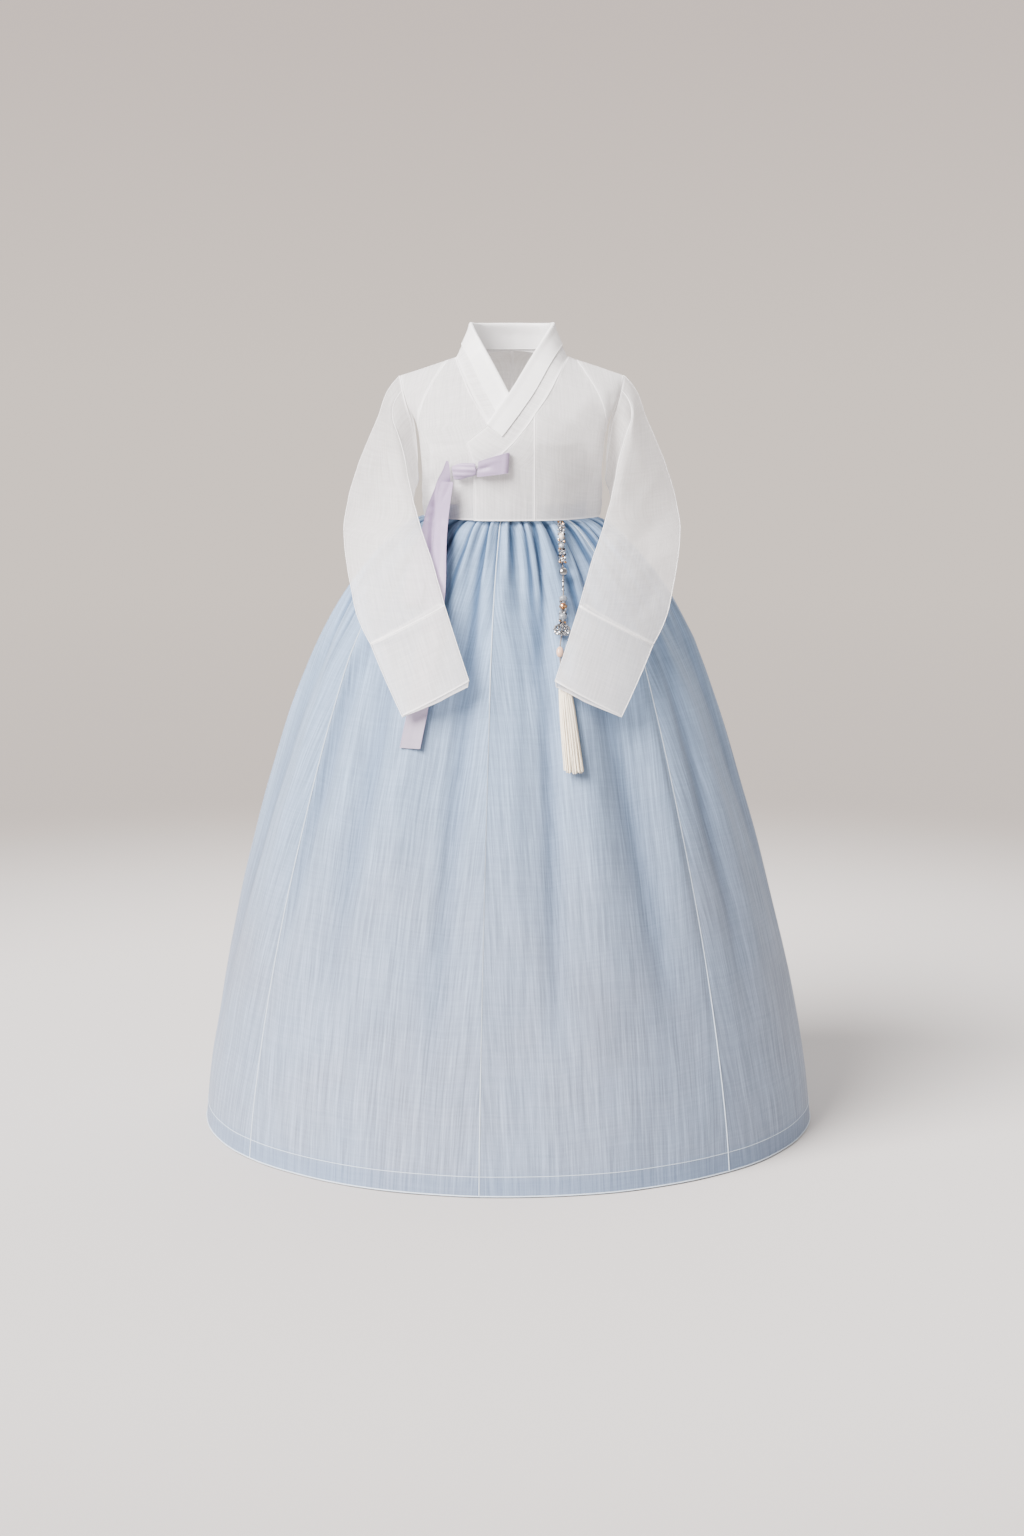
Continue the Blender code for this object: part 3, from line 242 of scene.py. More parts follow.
def ribbon_grid(node):
    """Rows of three points down a ribbon's front face: its two edges and the middle between them."""
    points, triangles = outward_sheet(node, FRONT)
    rim, = rims_of(half_edges(triangles))
    line = points[rim]
    down = (len(rim) - 4) // 2
    score = corner_score(turning_of(line), 2, down)
    line = np.roll(line, -int(score.argmax()), axis=0)
    near, far = line[-np.arange(down + 1)], line[2:3 + down]
    grid = np.stack([near, (near + far) / 2, far], axis=1)[::-1]
    return grid if (grid[0].mean(axis=0) - grid[-1].mean(axis=0)) @ UP > 0 else grid[::-1, ::-1]


def next_ring(third, points, ring, begin):
    """The ring of a tube below another, from a point of it, with its distance, or None."""
    below = [begin]
    try:
        for c, r in zip(ring, ring[1:] + ring[:1]):
            below.append(next_corner(third, c, r, below[-1]))
    except KeyError:
        return None
    if below[-1] != begin:
        return None
    return np.linalg.norm(points[below[:-1]] - points[ring], axis=1).sum(), below[:-1]


def tube_grid(node, start=UP):
    """Rings of a cloth tube, from the top one, whose last column repeats the first.  Each begins at
    the first ring's point that is furthest towards start, and goes to the right as seen from
    outside."""
    points, triangles = outward_sheet(node)
    third = half_edges(triangles)
    first = max(rims_of(third), key=lambda loop: points[loop].mean(axis=0) @ UP)
    at = int(np.argmax(points[first] @ start))
    rings = [first[at:] + first[:at]]
    for _ in range(len(np.unique(triangles)) // len(first) - 1):
        ring = rings[-1]
        met = third[ring[0], ring[1]]
        begins = [begin for begin in (met, third.get((ring[0], met))) if begin is not None]
        choices = [next_ring(third, points, ring, begin) for begin in begins]
        rings.append(min(choice for choice in choices if choice)[1])
    grid = points[np.array(rings)]
    return np.concatenate([grid[:, :1], grid[:, :0:-1], grid[:, :1]], axis=1)


# ---------------- smooth cloth
def refined(grid, step, axis, folds=()):
    """The grid with points about a step apart along an axis, on smooth curves through its own
    points.  The curves may turn sharply at the folds."""
    rows = np.moveaxis(grid, axis, 0)
    gaps = np.linalg.norm(np.diff(rows, axis=0), axis=-1).mean(axis=1)
    place = np.concatenate([[0.0], np.cumsum(gaps)])
    stops = [0, *folds, len(rows) - 1]
    made, index = [rows[:1]], [np.zeros(1)]
    for low, high in zip(stops, stops[1:]):
        part, along = rows[low:high + 1], place[low:high + 1]
        slope = np.gradient(part, along, axis=0, edge_order=2 if high - low > 1 else 1)
        for number in range(high - low):
            gap = along[number + 1] - along[number]
            pieces = max(1, round(gap / step))
            share = (np.arange(pieces) + 1) / pieces
            t = share.reshape((-1,) + (1,) * (rows.ndim - 1))
            near, far = part[number], part[number + 1]
            made.append(near * (1 + 2 * t) * (1 - t) ** 2 + far * t * t * (3 - 2 * t)
                        + gap * t * (1 - t) * (slope[number] * (1 - t) - slope[number + 1] * t))
            index.append(low + number + share)
    return np.moveaxis(np.concatenate(made), 0, axis), np.concatenate(index)


def smooth_sheet(grid, step, folds=()):
    """A grid refined both ways, and the old column numbers of its points.  The cloth may turn
    sharply at the columns that are folds."""
    down, across = step if isinstance(step, tuple) else (step, step)
    grid, columns = refined(grid, across, 1, folds)
    return refined(grid, down, 0)[0], columns


def normals_of(grid, around=False):
    """Outward unit normals of a grid whose rows go down and columns go to the right."""
    down = np.gradient(grid, axis=0)
    if around:
        ring = grid[:, :-1]
        across = (np.roll(ring, -1, axis=1) - np.roll(ring, 1, axis=1)) / 2
        across = np.concatenate([across, across[:, :1]], axis=1)
    else:
        across = np.gradient(grid, axis=1)
    normal = np.cross(down, across)
    return normal / np.maximum(np.linalg.norm(normal, axis=-1, keepdims=True), 1e-12)


def arc_lengths(grid):
    """Distance across from the middle column, and distance down from the first row."""
    across = np.linalg.norm(np.diff(grid, axis=1), axis=-1)
    across = np.concatenate([np.zeros((len(grid), 1)), np.cumsum(across, axis=1)], axis=1)
    across -= across[:, across.shape[1] // 2, None]
    down = np.linalg.norm(np.diff(grid, axis=0), axis=-1)
    down = np.concatenate([np.zeros((1, grid.shape[1])), np.cumsum(down, axis=0)], axis=0)
    return across, down


def creased(grid, creases, around=False):
    """The grid moved along its normals by soft creases.  Each is a line between two points as seen
    from the front, x and z, with its half width and its height, negative for a trough."""
    flat = grid[..., (0, 2)]
    lift = np.zeros(grid.shape[:2])
    for x0, z0, x1, z1, width, height in creases:
        start, run = np.array((x0, z0)), np.array((x1 - x0, z1 - z0))
        along = ((flat - start) @ run) / (run @ run)
        held = np.clip(along, 0, 1)
        away = np.linalg.norm(flat - start - held[..., None] * run, axis=-1)
        fade = np.sin(pi * np.clip(held, 0.06, 0.94)) ** 0.6
        lift += height * fade * np.exp(-(away / width) ** 2)
    return grid + normals_of(grid, around) * lift[..., None]


def rippled(grid, seed, size, height, calm):
    """The grid moved along its normals by uneven waves of about a size, that die out towards its
    side edges over the calm share of its width."""
    rng = np.random.default_rng(seed)
    lift = np.zeros(grid.shape[:2])
    for _ in range(9):
        wave = rng.normal(size=3)
        wave *= 2 * pi / size / np.linalg.norm(wave) * rng.uniform(0.6, 1.5)
        lift += np.sin(grid @ wave + rng.uniform(0, 2 * pi))
    lift *= height / 3
    edge = np.linspace(0, 1, grid.shape[1])
    lift = lift * np.clip(np.minimum(edge, 1 - edge) / calm, 0, 1)
    return grid + normals_of(grid) * lift[..., None]


def new_piece(name, mesh):
    piece = bpy.data.objects.new(name, mesh)
    bpy.context.scene.collection.objects.link(piece)
    return piece


def cloth_piece(name, grid, finish, around=False, thickness=0.0, values=None):
    """A smooth cloth surface on a grid, or a thin closed shell where it has a thickness.  In a tube,
    the last column repeats the first.  values are named numbers for each point."""
    rows, columns = grid.shape[:2]
    across, down = arc_lengths(grid)
    kept = columns - 1 if around else columns
    number = np.arange(rows)[:, None] * kept + np.arange(columns)[None] % kept
    corner = [(slice(None, -1), slice(None, -1)), (slice(1, None), slice(None, -1)),
              (slice(1, None), slice(1, None)), (slice(None, -1), slice(1, None))]
    faces = np.stack([number[part] for part in corner], axis=-1).reshape(-1, 4)
    place = np.stack([across, -down], axis=-1)
    places = np.stack([place[part] for part in corner], axis=2).reshape(-1, 2)
    points = grid[:, :kept].reshape(-1, 3)
    layers = 1
    if thickness:
        layers = 2
        inner = (grid - normals_of(grid, around) * thickness)[:, :kept].reshape(-1, 3)
        other = len(points)
        points = np.concatenate([points, inner])
        edges = [number[0], number[-1][::-1]]
        spots = [place[0], place[-1][::-1]]
        if not around:
            edges += [number[::-1, 0], number[:, -1]]
            spots += [place[::-1, 0], place[:, -1]]
        rims = [np.stack([line[:-1], line[1:], line[1:] + other, line[:-1] + other], axis=-1)
                for line in edges]
        rim_places = [np.stack([spot[:-1], spot[1:], spot[1:], spot[:-1]], axis=1).reshape(-1, 2)
                      for spot in spots]
        back_places = places.reshape(-1, 4, 2)[:, ::-1].reshape(-1, 2)
        faces = np.concatenate([faces, faces[:, ::-1] + other, *rims])
        places = np.concatenate([places, back_places, *rim_places])
    mesh = bpy.data.meshes.new(name)
    mesh.from_pydata(points.tolist(), [], faces.tolist())
    layer = mesh.uv_layers.new(name="cloth")
    layer.data.foreach_set("uv", places.astype(np.float32).reshape(-1))
    for title, value in (values or {}).items():
        each = np.tile(np.broadcast_to(value, (rows, columns))[:, :kept].reshape(-1), layers)
        mesh.attributes.new(title, "FLOAT", "POINT").data.foreach_set("value", each.astype(np.float32))
    mesh.shade_smooth()
    if thickness:
        mesh.set_sharp_from_angle(angle=radians(60))
    mesh.materials.append(finish)
    return new_piece(name, mesh)


def near_edges(grid, width, sides):
    """1 on the cloth within a width of the named edges, falling quickly to 0 beyond it."""
    across, down = arc_lengths(grid)
    far = {"left": across - across[:, :1], "right": across[:, -1:] - across,
           "top": down, "bottom": down[-1:] - down}
    away = np.min([far[side] for side in sides.split()], axis=0)
    return np.clip((width - away) / (0.25 * width) + 0.5, 0, 1)


# ---------------- shader building
def feed(tree, node, inputs):
    """Gives a node's inputs their values, plain ones or other sockets."""
    for key, value in inputs.items():
        if isinstance(value, bpy.types.NodeSocket):
            tree.links.new(value, node.inputs[key])
        else:
            node.inputs[key].default_value = value


def put(tree, kind, inputs=None, **settings):
    """A node of a kind, with its settings and its inputs given as values or as other sockets."""
    node = tree.nodes.new(kind)
    for title, value in settings.items():
        setattr(node, title, value)
    feed(tree, node, inputs or {})
    return node


def maths(tree, operation, first, second=0.0, third=0.0):
    return put(tree, "ShaderNodeMath", {0: first, 1: second, 2: third}, operation=operation).outputs[0]


def mapped(tree, value, low, high, new_low, new_high):
    inputs = {"Value": value, "From Min": low, "From Max": high, "To Min": new_low, "To Max": new_high}
    return put(tree, "ShaderNodeMapRange", inputs).outputs["Result"]


def blended(tree, share, first, second, kind="MIX"):
    """Two colours mixed by a share, each a socket or three plain channels."""
    inputs = {0: share}
    for index, colour in ((6, first), (7, second)):
        inputs[index] = colour if isinstance(colour, bpy.types.NodeSocket) else (*colour, 1.0)
    return put(tree, "ShaderNodeMix", inputs, data_type="RGBA", blend_type=kind).outputs[2]


def stretched(tree, vector, scale):
    return put(tree, "ShaderNodeMapping", {"Vector": vector, "Scale": scale}).outputs["Vector"]


def noise(tree, vector, scale=1.0, detail=2.0, roughness=0.5):
    inputs = {"Vector": vector, "Scale": scale, "Detail": detail, "Roughness": roughness}
    return put(tree, "ShaderNodeTexNoise", inputs).outputs["Fac"]


def new_tree(name, kind, inputs, outputs):
    """A node tree with named inputs, each with its kind and value, and its two end nodes' sockets."""
    tree = bpy.data.node_groups.new(name, kind)
    for title, socket_kind, value in inputs:
        socket = tree.interface.new_socket(title, in_out="INPUT", socket_type="NodeSocket" + socket_kind)
        if value is not None:
            socket.default_value = value
    for title, socket_kind in outputs:
        tree.interface.new_socket(title, in_out="OUTPUT", socket_type="NodeSocket" + socket_kind)
    return tree, tree.nodes.new("NodeGroupInput").outputs, tree.nodes.new("NodeGroupOutput").inputs


def weave_group():
    """Plain weave with slubs: thicker stretches of thread that run down and across the cloth."""
    tree, given, result = new_tree(
        "slub_weave", "ShaderNodeTree",
        [("Vector", "Vector", None), ("Threads", "Float", 900.0), ("Across", "Float", 260.0),
         ("Along", "Float", 14.0), ("Weft", "Float", 0.6)], [("Tone", "Float"), ("Height", "Float")])
    slubs = []
    for first, second, drift in (("Across", "Along", 0.0), ("Along", "Across", 7.3)):
        scale = put(tree, "ShaderNodeCombineXYZ", {0: given[first], 1: given[second], 2: 1.0}).outputs[0]
        wide = put(tree, "ShaderNodeVectorMath", {0: given["Vector"], 1: scale}, operation="MULTIPLY")
        shifted = put(tree, "ShaderNodeVectorMath", {0: wide.outputs[0], 1: (drift, drift, drift)})
        slubs.append(mapped(tree, noise(tree, shifted.outputs[0], 1.0, 3.0, 0.62), 0.36, 0.68, 0.0, 1.0))
    both = maths(tree, "ADD", slubs[0], maths(tree, "MULTIPLY", slubs[1], given["Weft"]))
    tone = maths(tree, "DIVIDE", both, maths(tree, "ADD", given["Weft"], 1.0))
    threads = put(tree, "ShaderNodeVectorMath", {0: given["Vector"], "Scale": given["Threads"]},
                  operation="SCALE")
    parts = put(tree, "ShaderNodeSeparateXYZ", {0: threads.outputs[0]}).outputs
    warp, weft = (maths(tree, "SINE", maths(tree, "MULTIPLY", part, 2 * pi)) for part in parts[:2])
    height = maths(tree, "MULTIPLY_ADD", maths(tree, "MULTIPLY", warp, weft), 0.25, tone)
    tree.links.new(tone, result["Tone"])
    tree.links.new(height, result["Height"])
    return tree


def clouds_group():
    """Soft uneven patches, for cloth that is nowhere quite one colour."""
    tree, given, result = new_tree("soft_clouds", "ShaderNodeTree",
                                   [("Vector", "Vector", None), ("Scale", "Float", 8.0)],
                                   [("Patch", "Float")])
    grain = noise(tree, given["Vector"], given["Scale"], 3.0, 0.55)
    tree.links.new(mapped(tree, grain, 0.3, 0.7, 0.0, 1.0), result["Patch"])
    return tree


WEAVE, CLOUDS = weave_group(), clouds_group()


def woven(tree, place, **sizes):
    """The tone and the height of a weave with its own sizes."""
    return put(tree, "ShaderNodeGroup", {"Vector": place, **sizes}, node_tree=WEAVE).outputs


def patches(tree, place, scale):
    inputs = {"Vector": place, "Scale": scale}
    return put(tree, "ShaderNodeGroup", inputs, node_tree=CLOUDS).outputs["Patch"]


def new_material(name):
    material = bpy.data.materials.new(name)
    material.use_nodes = True
    tree = material.node_tree
    tree.nodes.clear()
    shader = put(tree, "ShaderNodeBsdfPrincipled")
    put(tree, "ShaderNodeOutputMaterial", {"Surface": shader.outputs[0]})
    return material, tree, shader


def cloth_uv(tree):
    return put(tree, "ShaderNodeUVMap", uv_map="cloth").outputs[0]


def object_place(tree):
    return put(tree, "ShaderNodeTexCoord").outputs["Object"]


def attribute(tree, name):
    return put(tree, "ShaderNodeAttribute", attribute_name=name).outputs["Fac"]


def object_height(tree):
    return put(tree, "ShaderNodeSeparateXYZ", {0: object_place(tree)}).outputs[2]


def relief(tree, height, strength, distance):
    inputs = {"Height": height, "Strength": strength, "Distance": distance}
    return put(tree, "ShaderNodeBump", inputs).outputs[0]


def shaded(colour, share):
    return tuple(channel * share for channel in colour)


def sheer_ramie(name, colour, cover):
    """Sheer cloth: the weave lets light through, less where the layer attribute says it is doubled."""
    material, tree, shader = new_material(name)
    weave = woven(tree, cloth_uv(tree), Across=330.0, Along=16.0, Weft=0.55)
    tone, layer = weave["Tone"], attribute(tree, "layer")
    thread = blended(tree, tone, shaded(colour, 0.90), shaded(colour, 1.05))
    cool = mapped(tree, patches(tree, object_place(tree), 11.0), 0, 1, 0.0, 0.10)
    hue = blended(tree, cool, thread, RAMIE_COOL, "MULTIPLY")
    open_weave = mapped(tree, tone, 0.0, 1.0, cover - COVER_SPREAD, cover + COVER_SPREAD)
    apart = maths(tree, "SUBTRACT", DOUBLED_COVER, open_weave)
    feed(tree, shader, {
        "Base Color": blended(tree, maths(tree, "MULTIPLY", layer, 0.8), hue, shaded(colour, 1.10)),
        "Alpha": maths(tree, "MULTIPLY_ADD", layer, apart, open_weave),
        "Roughness": mapped(tree, tone, 0, 1, 0.82, 0.62),
        "Sheen Weight": 0.12, "Sheen Roughness": 0.5, "Specular IOR Level": 0.30,
        "Normal": relief(tree, weave["Height"], 0.25, 0.0002)})
    return material


def white_satin():
    """The crisp white strip over the collar, with soft puckers across it."""
    material, tree, shader = new_material("collar_white_satin")
    place = cloth_uv(tree)
    fine = woven(tree, place, Threads=1400.0, Across=500.0, Along=60.0)
    pucker = noise(tree, stretched(tree, place, (12.0, 95.0, 1.0)))
    # painted shade: the white is a little darker where the puckers dip, by the same noise as their bump
    share = mapped(tree, pucker, 0.35, 0.65, 0, 1)
    height = maths(tree, "MULTIPLY_ADD", fine["Height"], 0.08, pucker)
    feed(tree, shader, {
        "Base Color": blended(tree, share, shaded(TRIM_WHITE, 0.965), TRIM_WHITE),
        "Roughness": mapped(tree, fine["Tone"], 0, 1, 0.46, 0.36), "Sheen Weight": 0.15,
        "Normal": relief(tree, height, 0.35, 0.0009)})
    return material


def skirt_ramie():
    """Slubby blue cloth, bluer near the waist, with painted shade in the valleys of its folds and pleats,
    darker where the hem is doubled.
    """
    material, tree, shader = new_material("skirt_slub_ramie")
    place = cloth_uv(tree)
    weave = woven(tree, place, Across=380.0, Along=11.0, Weft=0.22)
    broad = woven(tree, place, Across=105.0, Along=2.6, Weft=0.10)
    fade = mapped(tree, object_height(tree), *SKIRT_FADE, 0.0, 1.0)
    base = blended(tree, fade, SKIRT_BLUE, SKIRT_PALE)
    patch = patches(tree, object_place(tree), 5.0)
    uneven = blended(tree, maths(tree, "MULTIPLY_ADD", patch, 0.30, 0.06), base, SKIRT_BLUE)
    # painted shade: the cloth darkens towards navy down in the valleys of the pleats and folds
    valley_shaded = blended(tree, attribute(tree, "valley_shade"), uneven, SKIRT_SHADE_AND_DOUBLED)
    tone = maths(tree, "MULTIPLY_ADD", broad["Tone"], 0.35, maths(tree, "MULTIPLY", weave["Tone"], 0.65))
    light = mapped(tree, tone, 0.15, 0.85, 0.68, 1.24)
    grey = put(tree, "ShaderNodeCombineXYZ", {0: light, 1: light, 2: light}).outputs[0]
    threads = blended(tree, 1.0, valley_shaded, grey, "MULTIPLY")
    doubled = maths(tree, "MULTIPLY", attribute(tree, "hem"), 0.26)
    feed(tree, shader, {
        "Base Color": blended(tree, doubled, threads, shaded(SKIRT_SHADE_AND_DOUBLED, 1.6)),
        "Roughness": mapped(tree, tone, 0, 1, 0.85, 0.62),
        "Sheen Weight": 0.18, "Sheen Roughness": 0.45, "Specular IOR Level": 0.30,
        "Normal": relief(tree, maths(tree, "ADD", weave["Height"], broad["Tone"]), 0.35, 0.0004)})
    return material


def ribbed_silk(name, colour, ribs=700.0, lustre=0.40, lower_shade=0.0):
    """Silk with fine ribs across it and a soft lustre, and painted shade that darkens it towards its lower
    end where asked.
    """
    material, tree, shader = new_material(name)
    place = cloth_uv(tree)
    weave = woven(tree, place, Threads=ribs, Across=420.0, Along=18.0)
    streak = noise(tree, stretched(tree, place, (180.0, 6.0, 1.0)))
    tone = maths(tree, "MULTIPLY_ADD", weave["Tone"], 0.5, maths(tree, "MULTIPLY", streak, 0.5))
    # painted shade: the ribbon darkens between two heights, towards its lower end
    lower = mapped(tree, object_height(tree), *LOWER_SHADE_HEIGHTS, 0.0, lower_shade)
    threads = blended(tree, tone, shaded(colour, 0.90), shaded(colour, 1.10))
    feed(tree, shader, {
        "Base Color": blended(tree, lower, threads, shaded(colour, 0.40)),
        "Roughness": mapped(tree, tone, 0, 1, lustre + 0.12, lustre - 0.05), "Sheen Weight": 0.25,
        "Normal": relief(tree, weave["Height"], 0.3, 0.00015)})
    return material


def tassel_silk():
    """Silk threads, each a little lighter or darker than the next, with many painted much darker as the
    shade in the gaps between threads.
    """
    material, tree, shader = new_material("tassel_cream_silk")
    streak = noise(tree, stretched(tree, object_place(tree), (260.0, 260.0, 30.0)))
    # painted shade: a random share of the strands is made much darker, standing for the shade between
    # threads
    strand_gap_shade = mapped(tree, attribute(tree, "thread"), 0.0, 0.42, 0.0, 0.8)
    tone = maths(tree, "MULTIPLY_ADD", streak, 0.25, strand_gap_shade)
    feed(tree, shader, {
        "Base Color": blended(tree, tone, shaded(TASSEL_CREAM, 0.26), shaded(TASSEL_CREAM, 1.05)),
        "Roughness": mapped(tree, streak, 0.3, 0.7, 0.55, 0.40), "Sheen Weight": 0.2})
    return material


def band_cotton():
    """The plain cotton of the chest band."""
    material, tree, shader = new_material("band_cotton")
    weave = woven(tree, cloth_uv(tree), Threads=1100.0, Across=300.0)
    feed(tree, shader, {
        "Base Color": blended(tree, weave["Tone"], (0.80, 0.80, 0.79), (0.90, 0.90, 0.89)),
        "Roughness": mapped(tree, weave["Tone"], 0, 1, 0.9, 0.75),
        "Normal": relief(tree, weave["Height"], 0.4, 0.0003)})
    return material


def precious(name, colour, roughness):
    """Polished metal with fine scratches and a little tarnish in its dull patches."""
    material, tree, shader = new_material(name)
    place = object_place(tree)
    scratch = noise(tree, stretched(tree, place, (900.0, 900.0, 4000.0)), 1.0, 3.0, 0.6)
    feed(tree, shader, {
        "Base Color": blended(tree, patches(tree, place, 260.0), shaded(colour, 0.72), colour),
        "Roughness": mapped(tree, scratch, 0.3, 0.7, roughness - 0.06, roughness + 0.14),
        "Metallic": 1.0, "Normal": relief(tree, scratch, 0.12, 0.00005)})
    return material


def grained(name, colour, scale, tones, roughness, plain, coarse=0.5, bump=None):
    """A finish in one colour with a fine grain of a scale: the shares of the colour and the
    roughness at the grain's two ends, the plain values of other inputs, and its bump."""
    material, tree, shader = new_material(name)
    grain = noise(tree, object_place(tree), scale, 2.0, coarse)
    feed(tree, shader, {
        "Base Color": blended(tree, grain, *(shaded(colour, tone) for tone in tones)),
        "Roughness": mapped(tree, grain, 0.3, 0.7, *roughness), **plain})
    if bump:
        feed(tree, shader, {"Normal": relief(tree, grain, *bump)})
    return material


def bead_glass(name, colour):
    """Clear glass of a bead, with faint seeds in it."""
    return grained(name, colour, 700.0, (0.9, 1.0), (0.05, 0.15),
                   {"Transmission Weight": 0.55, "IOR": 1.5, "Coat Weight": 0.5})


def pearl(name, colour):
    return grained(name, colour, 320.0, (0.86, 1.0), (0.18, 0.30), {"Coat Weight": 0.6, "Sheen Weight": 0.2})


def seam_thread(name, colour):
    """Rolled seams and piping, in a fine twisted grain."""
    return grained(name, colour, 900.0, (0.93, 1.04), (0.55, 0.75), {"Sheen Weight": 0.2},
                   coarse=0.6, bump=(0.3, 0.0001))


# ---------------- geometry nodes
def growing_tree(name, inputs):
    """A Geometry Nodes tree with named inputs besides its mesh and material."""
    return new_tree(name, "GeometryNodeTree", [("Geometry", "Geometry", None), *inputs,
                                               ("Material", "Material", None)], [("Geometry", "Geometry")])


def finished(tree, geometry, given, result, smooth=True):
    """Ends a tree with Realize Instances and Set Material."""
    real = put(tree, "GeometryNodeRealizeInstances", {"Geometry": geometry}).outputs[0]
    if smooth:
        real = put(tree, "GeometryNodeSetShadeSmooth", {"Geometry": real}).outputs[0]
    inputs = {"Geometry": real, "Material": given["Material"]}
    tree.links.new(put(tree, "GeometryNodeSetMaterial", inputs).outputs[0], result["Geometry"])
    return tree


def tube_along(tree, curve, given, scale=1.0):
    """A closed round tube along each curve."""
    ring = put(tree, "GeometryNodeCurvePrimitiveCircle",
               {"Resolution": given["Sides"], "Radius": given["Radius"]}).outputs[0]
    inputs = {"Curve": curve, "Profile Curve": ring, "Scale": scale, "Fill Caps": True}
    return put(tree, "GeometryNodeCurveToMesh", inputs).outputs[0]


def piping_tree():
    """A thin round ridge along each line of the mesh that it is given."""
    tree, given, result = growing_tree("piping", [("Radius", "Float", 0.0008), ("Sides", "Int", 6)])
    curve = put(tree, "GeometryNodeMeshToCurve", {"Mesh": given["Geometry"]}).outputs[0]
    return finished(tree, tube_along(tree, curve, given), given, result)


def grown(name, points, edges, tree, radius, sides, material):
    """The plain mesh that a Geometry Nodes tree grows from points and lines, as a new piece."""
    seed = bpy.data.meshes.new(name + "_guide")
    seed.from_pydata([tuple(point) for point in points], edges, [])
    guide = new_piece(name + "_guide", seed)
    modifier = guide.modifiers.new("grow", "NODES")
    modifier.node_group = tree
    sockets = {item.name: item.identifier for item in tree.interface.items_tree if item.in_out == "INPUT"}
    for title, value in (("Radius", radius), ("Sides", sides), ("Material", material)):
        modifier[sockets[title]] = value
    shown = guide.evaluated_get(bpy.context.evaluated_depsgraph_get())
    mesh = bpy.data.meshes.new_from_object(shown)
    mesh.name = name
    guide.modifiers.remove(modifier)
    bpy.data.objects.remove(guide)
    bpy.data.meshes.remove(seed)
    return new_piece(name, mesh)


PIPING_SIDES = 6


def piped(name, lines, tree, radius, material):
    """Ridges along lines of points; a line whose ends meet is closed."""
    points, edges = [], []
    for line in lines:
        first = len(points)
        closed = np.linalg.norm(line[0] - line[-1]) < 1e-5
        line = line[:-1] if closed else line
        points.extend(line)
        edges += [(first + step, first + step + 1) for step in range(len(line) - 1)]
        if closed:
            edges.append((first + len(line) - 1, first))
    return grown(name, points, edges, tree, radius, PIPING_SIDES, material)


# ---------------- camera, floor and light
def make_camera():
    data = bpy.data.cameras.new("camera")
    data.lens, data.sensor_width = CAMERA_LENS, CAMERA_SENSOR
    camera = new_piece("camera", data)
    camera.location = CAMERA_PLACE
    camera.rotation_euler = (radians(90 - CAMERA_DOWN), 0, 0)
    bpy.context.scene.camera = camera


def floor_paper():
    """Pale paper that fades into the backdrop's colour far from the middle."""
    material, tree, shader = new_material("floor_paper")
    parts = put(tree, "ShaderNodeSeparateXYZ", {0: object_place(tree)}).outputs
    flat = put(tree, "ShaderNodeCombineXYZ", {0: parts[0], 1: parts[1], 2: 0.0}).outputs[0]
    away = put(tree, "ShaderNodeVectorMath", {0: flat}, operation="LENGTH").outputs["Value"]
    grain = noise(tree, object_place(tree), 3.0, 3.0)
    feed(tree, shader, {"Base Color": (*FLOOR_PAPER, 1.0),
                        "Roughness": mapped(tree, grain, 0.3, 0.7, 0.85, 0.95)})
    far = mapped(tree, away, *BACKDROP_FADE, 0.0, 1.0)
    glow = put(tree, "ShaderNodeEmission", {"Color": blended(tree, far, BACKDROP_NEAR, BACKDROP_FAR)})
    inputs = {"Value": away, "From Min": FLOOR_FADE[0], "From Max": FLOOR_FADE[1]}
    share = put(tree, "ShaderNodeMapRange", inputs, interpolation_type="SMOOTHSTEP").outputs[0]
    mix = put(tree, "ShaderNodeMixShader", {0: share, 1: shader.outputs[0], 2: glow.outputs[0]})
    output = next(node for node in tree.nodes if node.type == "OUTPUT_MATERIAL")
    tree.links.new(mix.outputs[0], output.inputs["Surface"])
    return material


def make_stage(lowest):
    """A pale floor that fades into the backdrop's colour, which the world shows all round."""
    mesh = bpy.data.meshes.new("floor")
    work = bmesh.new()
    bmesh.ops.create_circle(work, cap_ends=True, segments=96, radius=FLOOR_RADIUS)
    work.to_mesh(mesh)
    work.free()
    mesh.transform(Matrix.Translation((0.0, 0.0, lowest - FLOOR_GAP)))
    mesh.materials.append(floor_paper())
    new_piece("floor", mesh)
    world = bpy.data.worlds.new("studio")
    world.use_nodes = True
    sky = world.node_tree
    ahead = put(sky, "ShaderNodeTexCoord").outputs["Generated"]
    climb = put(sky, "ShaderNodeSeparateXYZ", {0: ahead}).outputs[2]
    shown = blended(sky, mapped(sky, climb, -0.02, 0.10, 0.0, 1.0), BACKDROP_FAR, BACKDROP_HIGH)
    seen = put(sky, "ShaderNodeLightPath").outputs["Is Camera Ray"]
    sky.links.new(blended(sky, seen, AMBIENT, shown), sky.nodes["Background"].inputs["Color"])
    bpy.context.scene.world = world


LIGHTS = (   # name, degrees to the right, degrees up, strength, angular size, colour
    ("key", -50, 38, 14.0, 40, (1.0, 0.955, 0.925)),
    ("back", 160, 50, 2.2, 60, (1.0, 0.97, 0.95)))


def make_lights():
    for name, side, height, strength, size, colour in LIGHTS:
        light = bpy.data.lights.new(name, "SUN")
        light.energy, light.angle, light.color = strength, radians(size), colour
        lamp = new_piece(name, light)
        lamp.rotation_euler = (radians(90 - height), 0, radians(side))


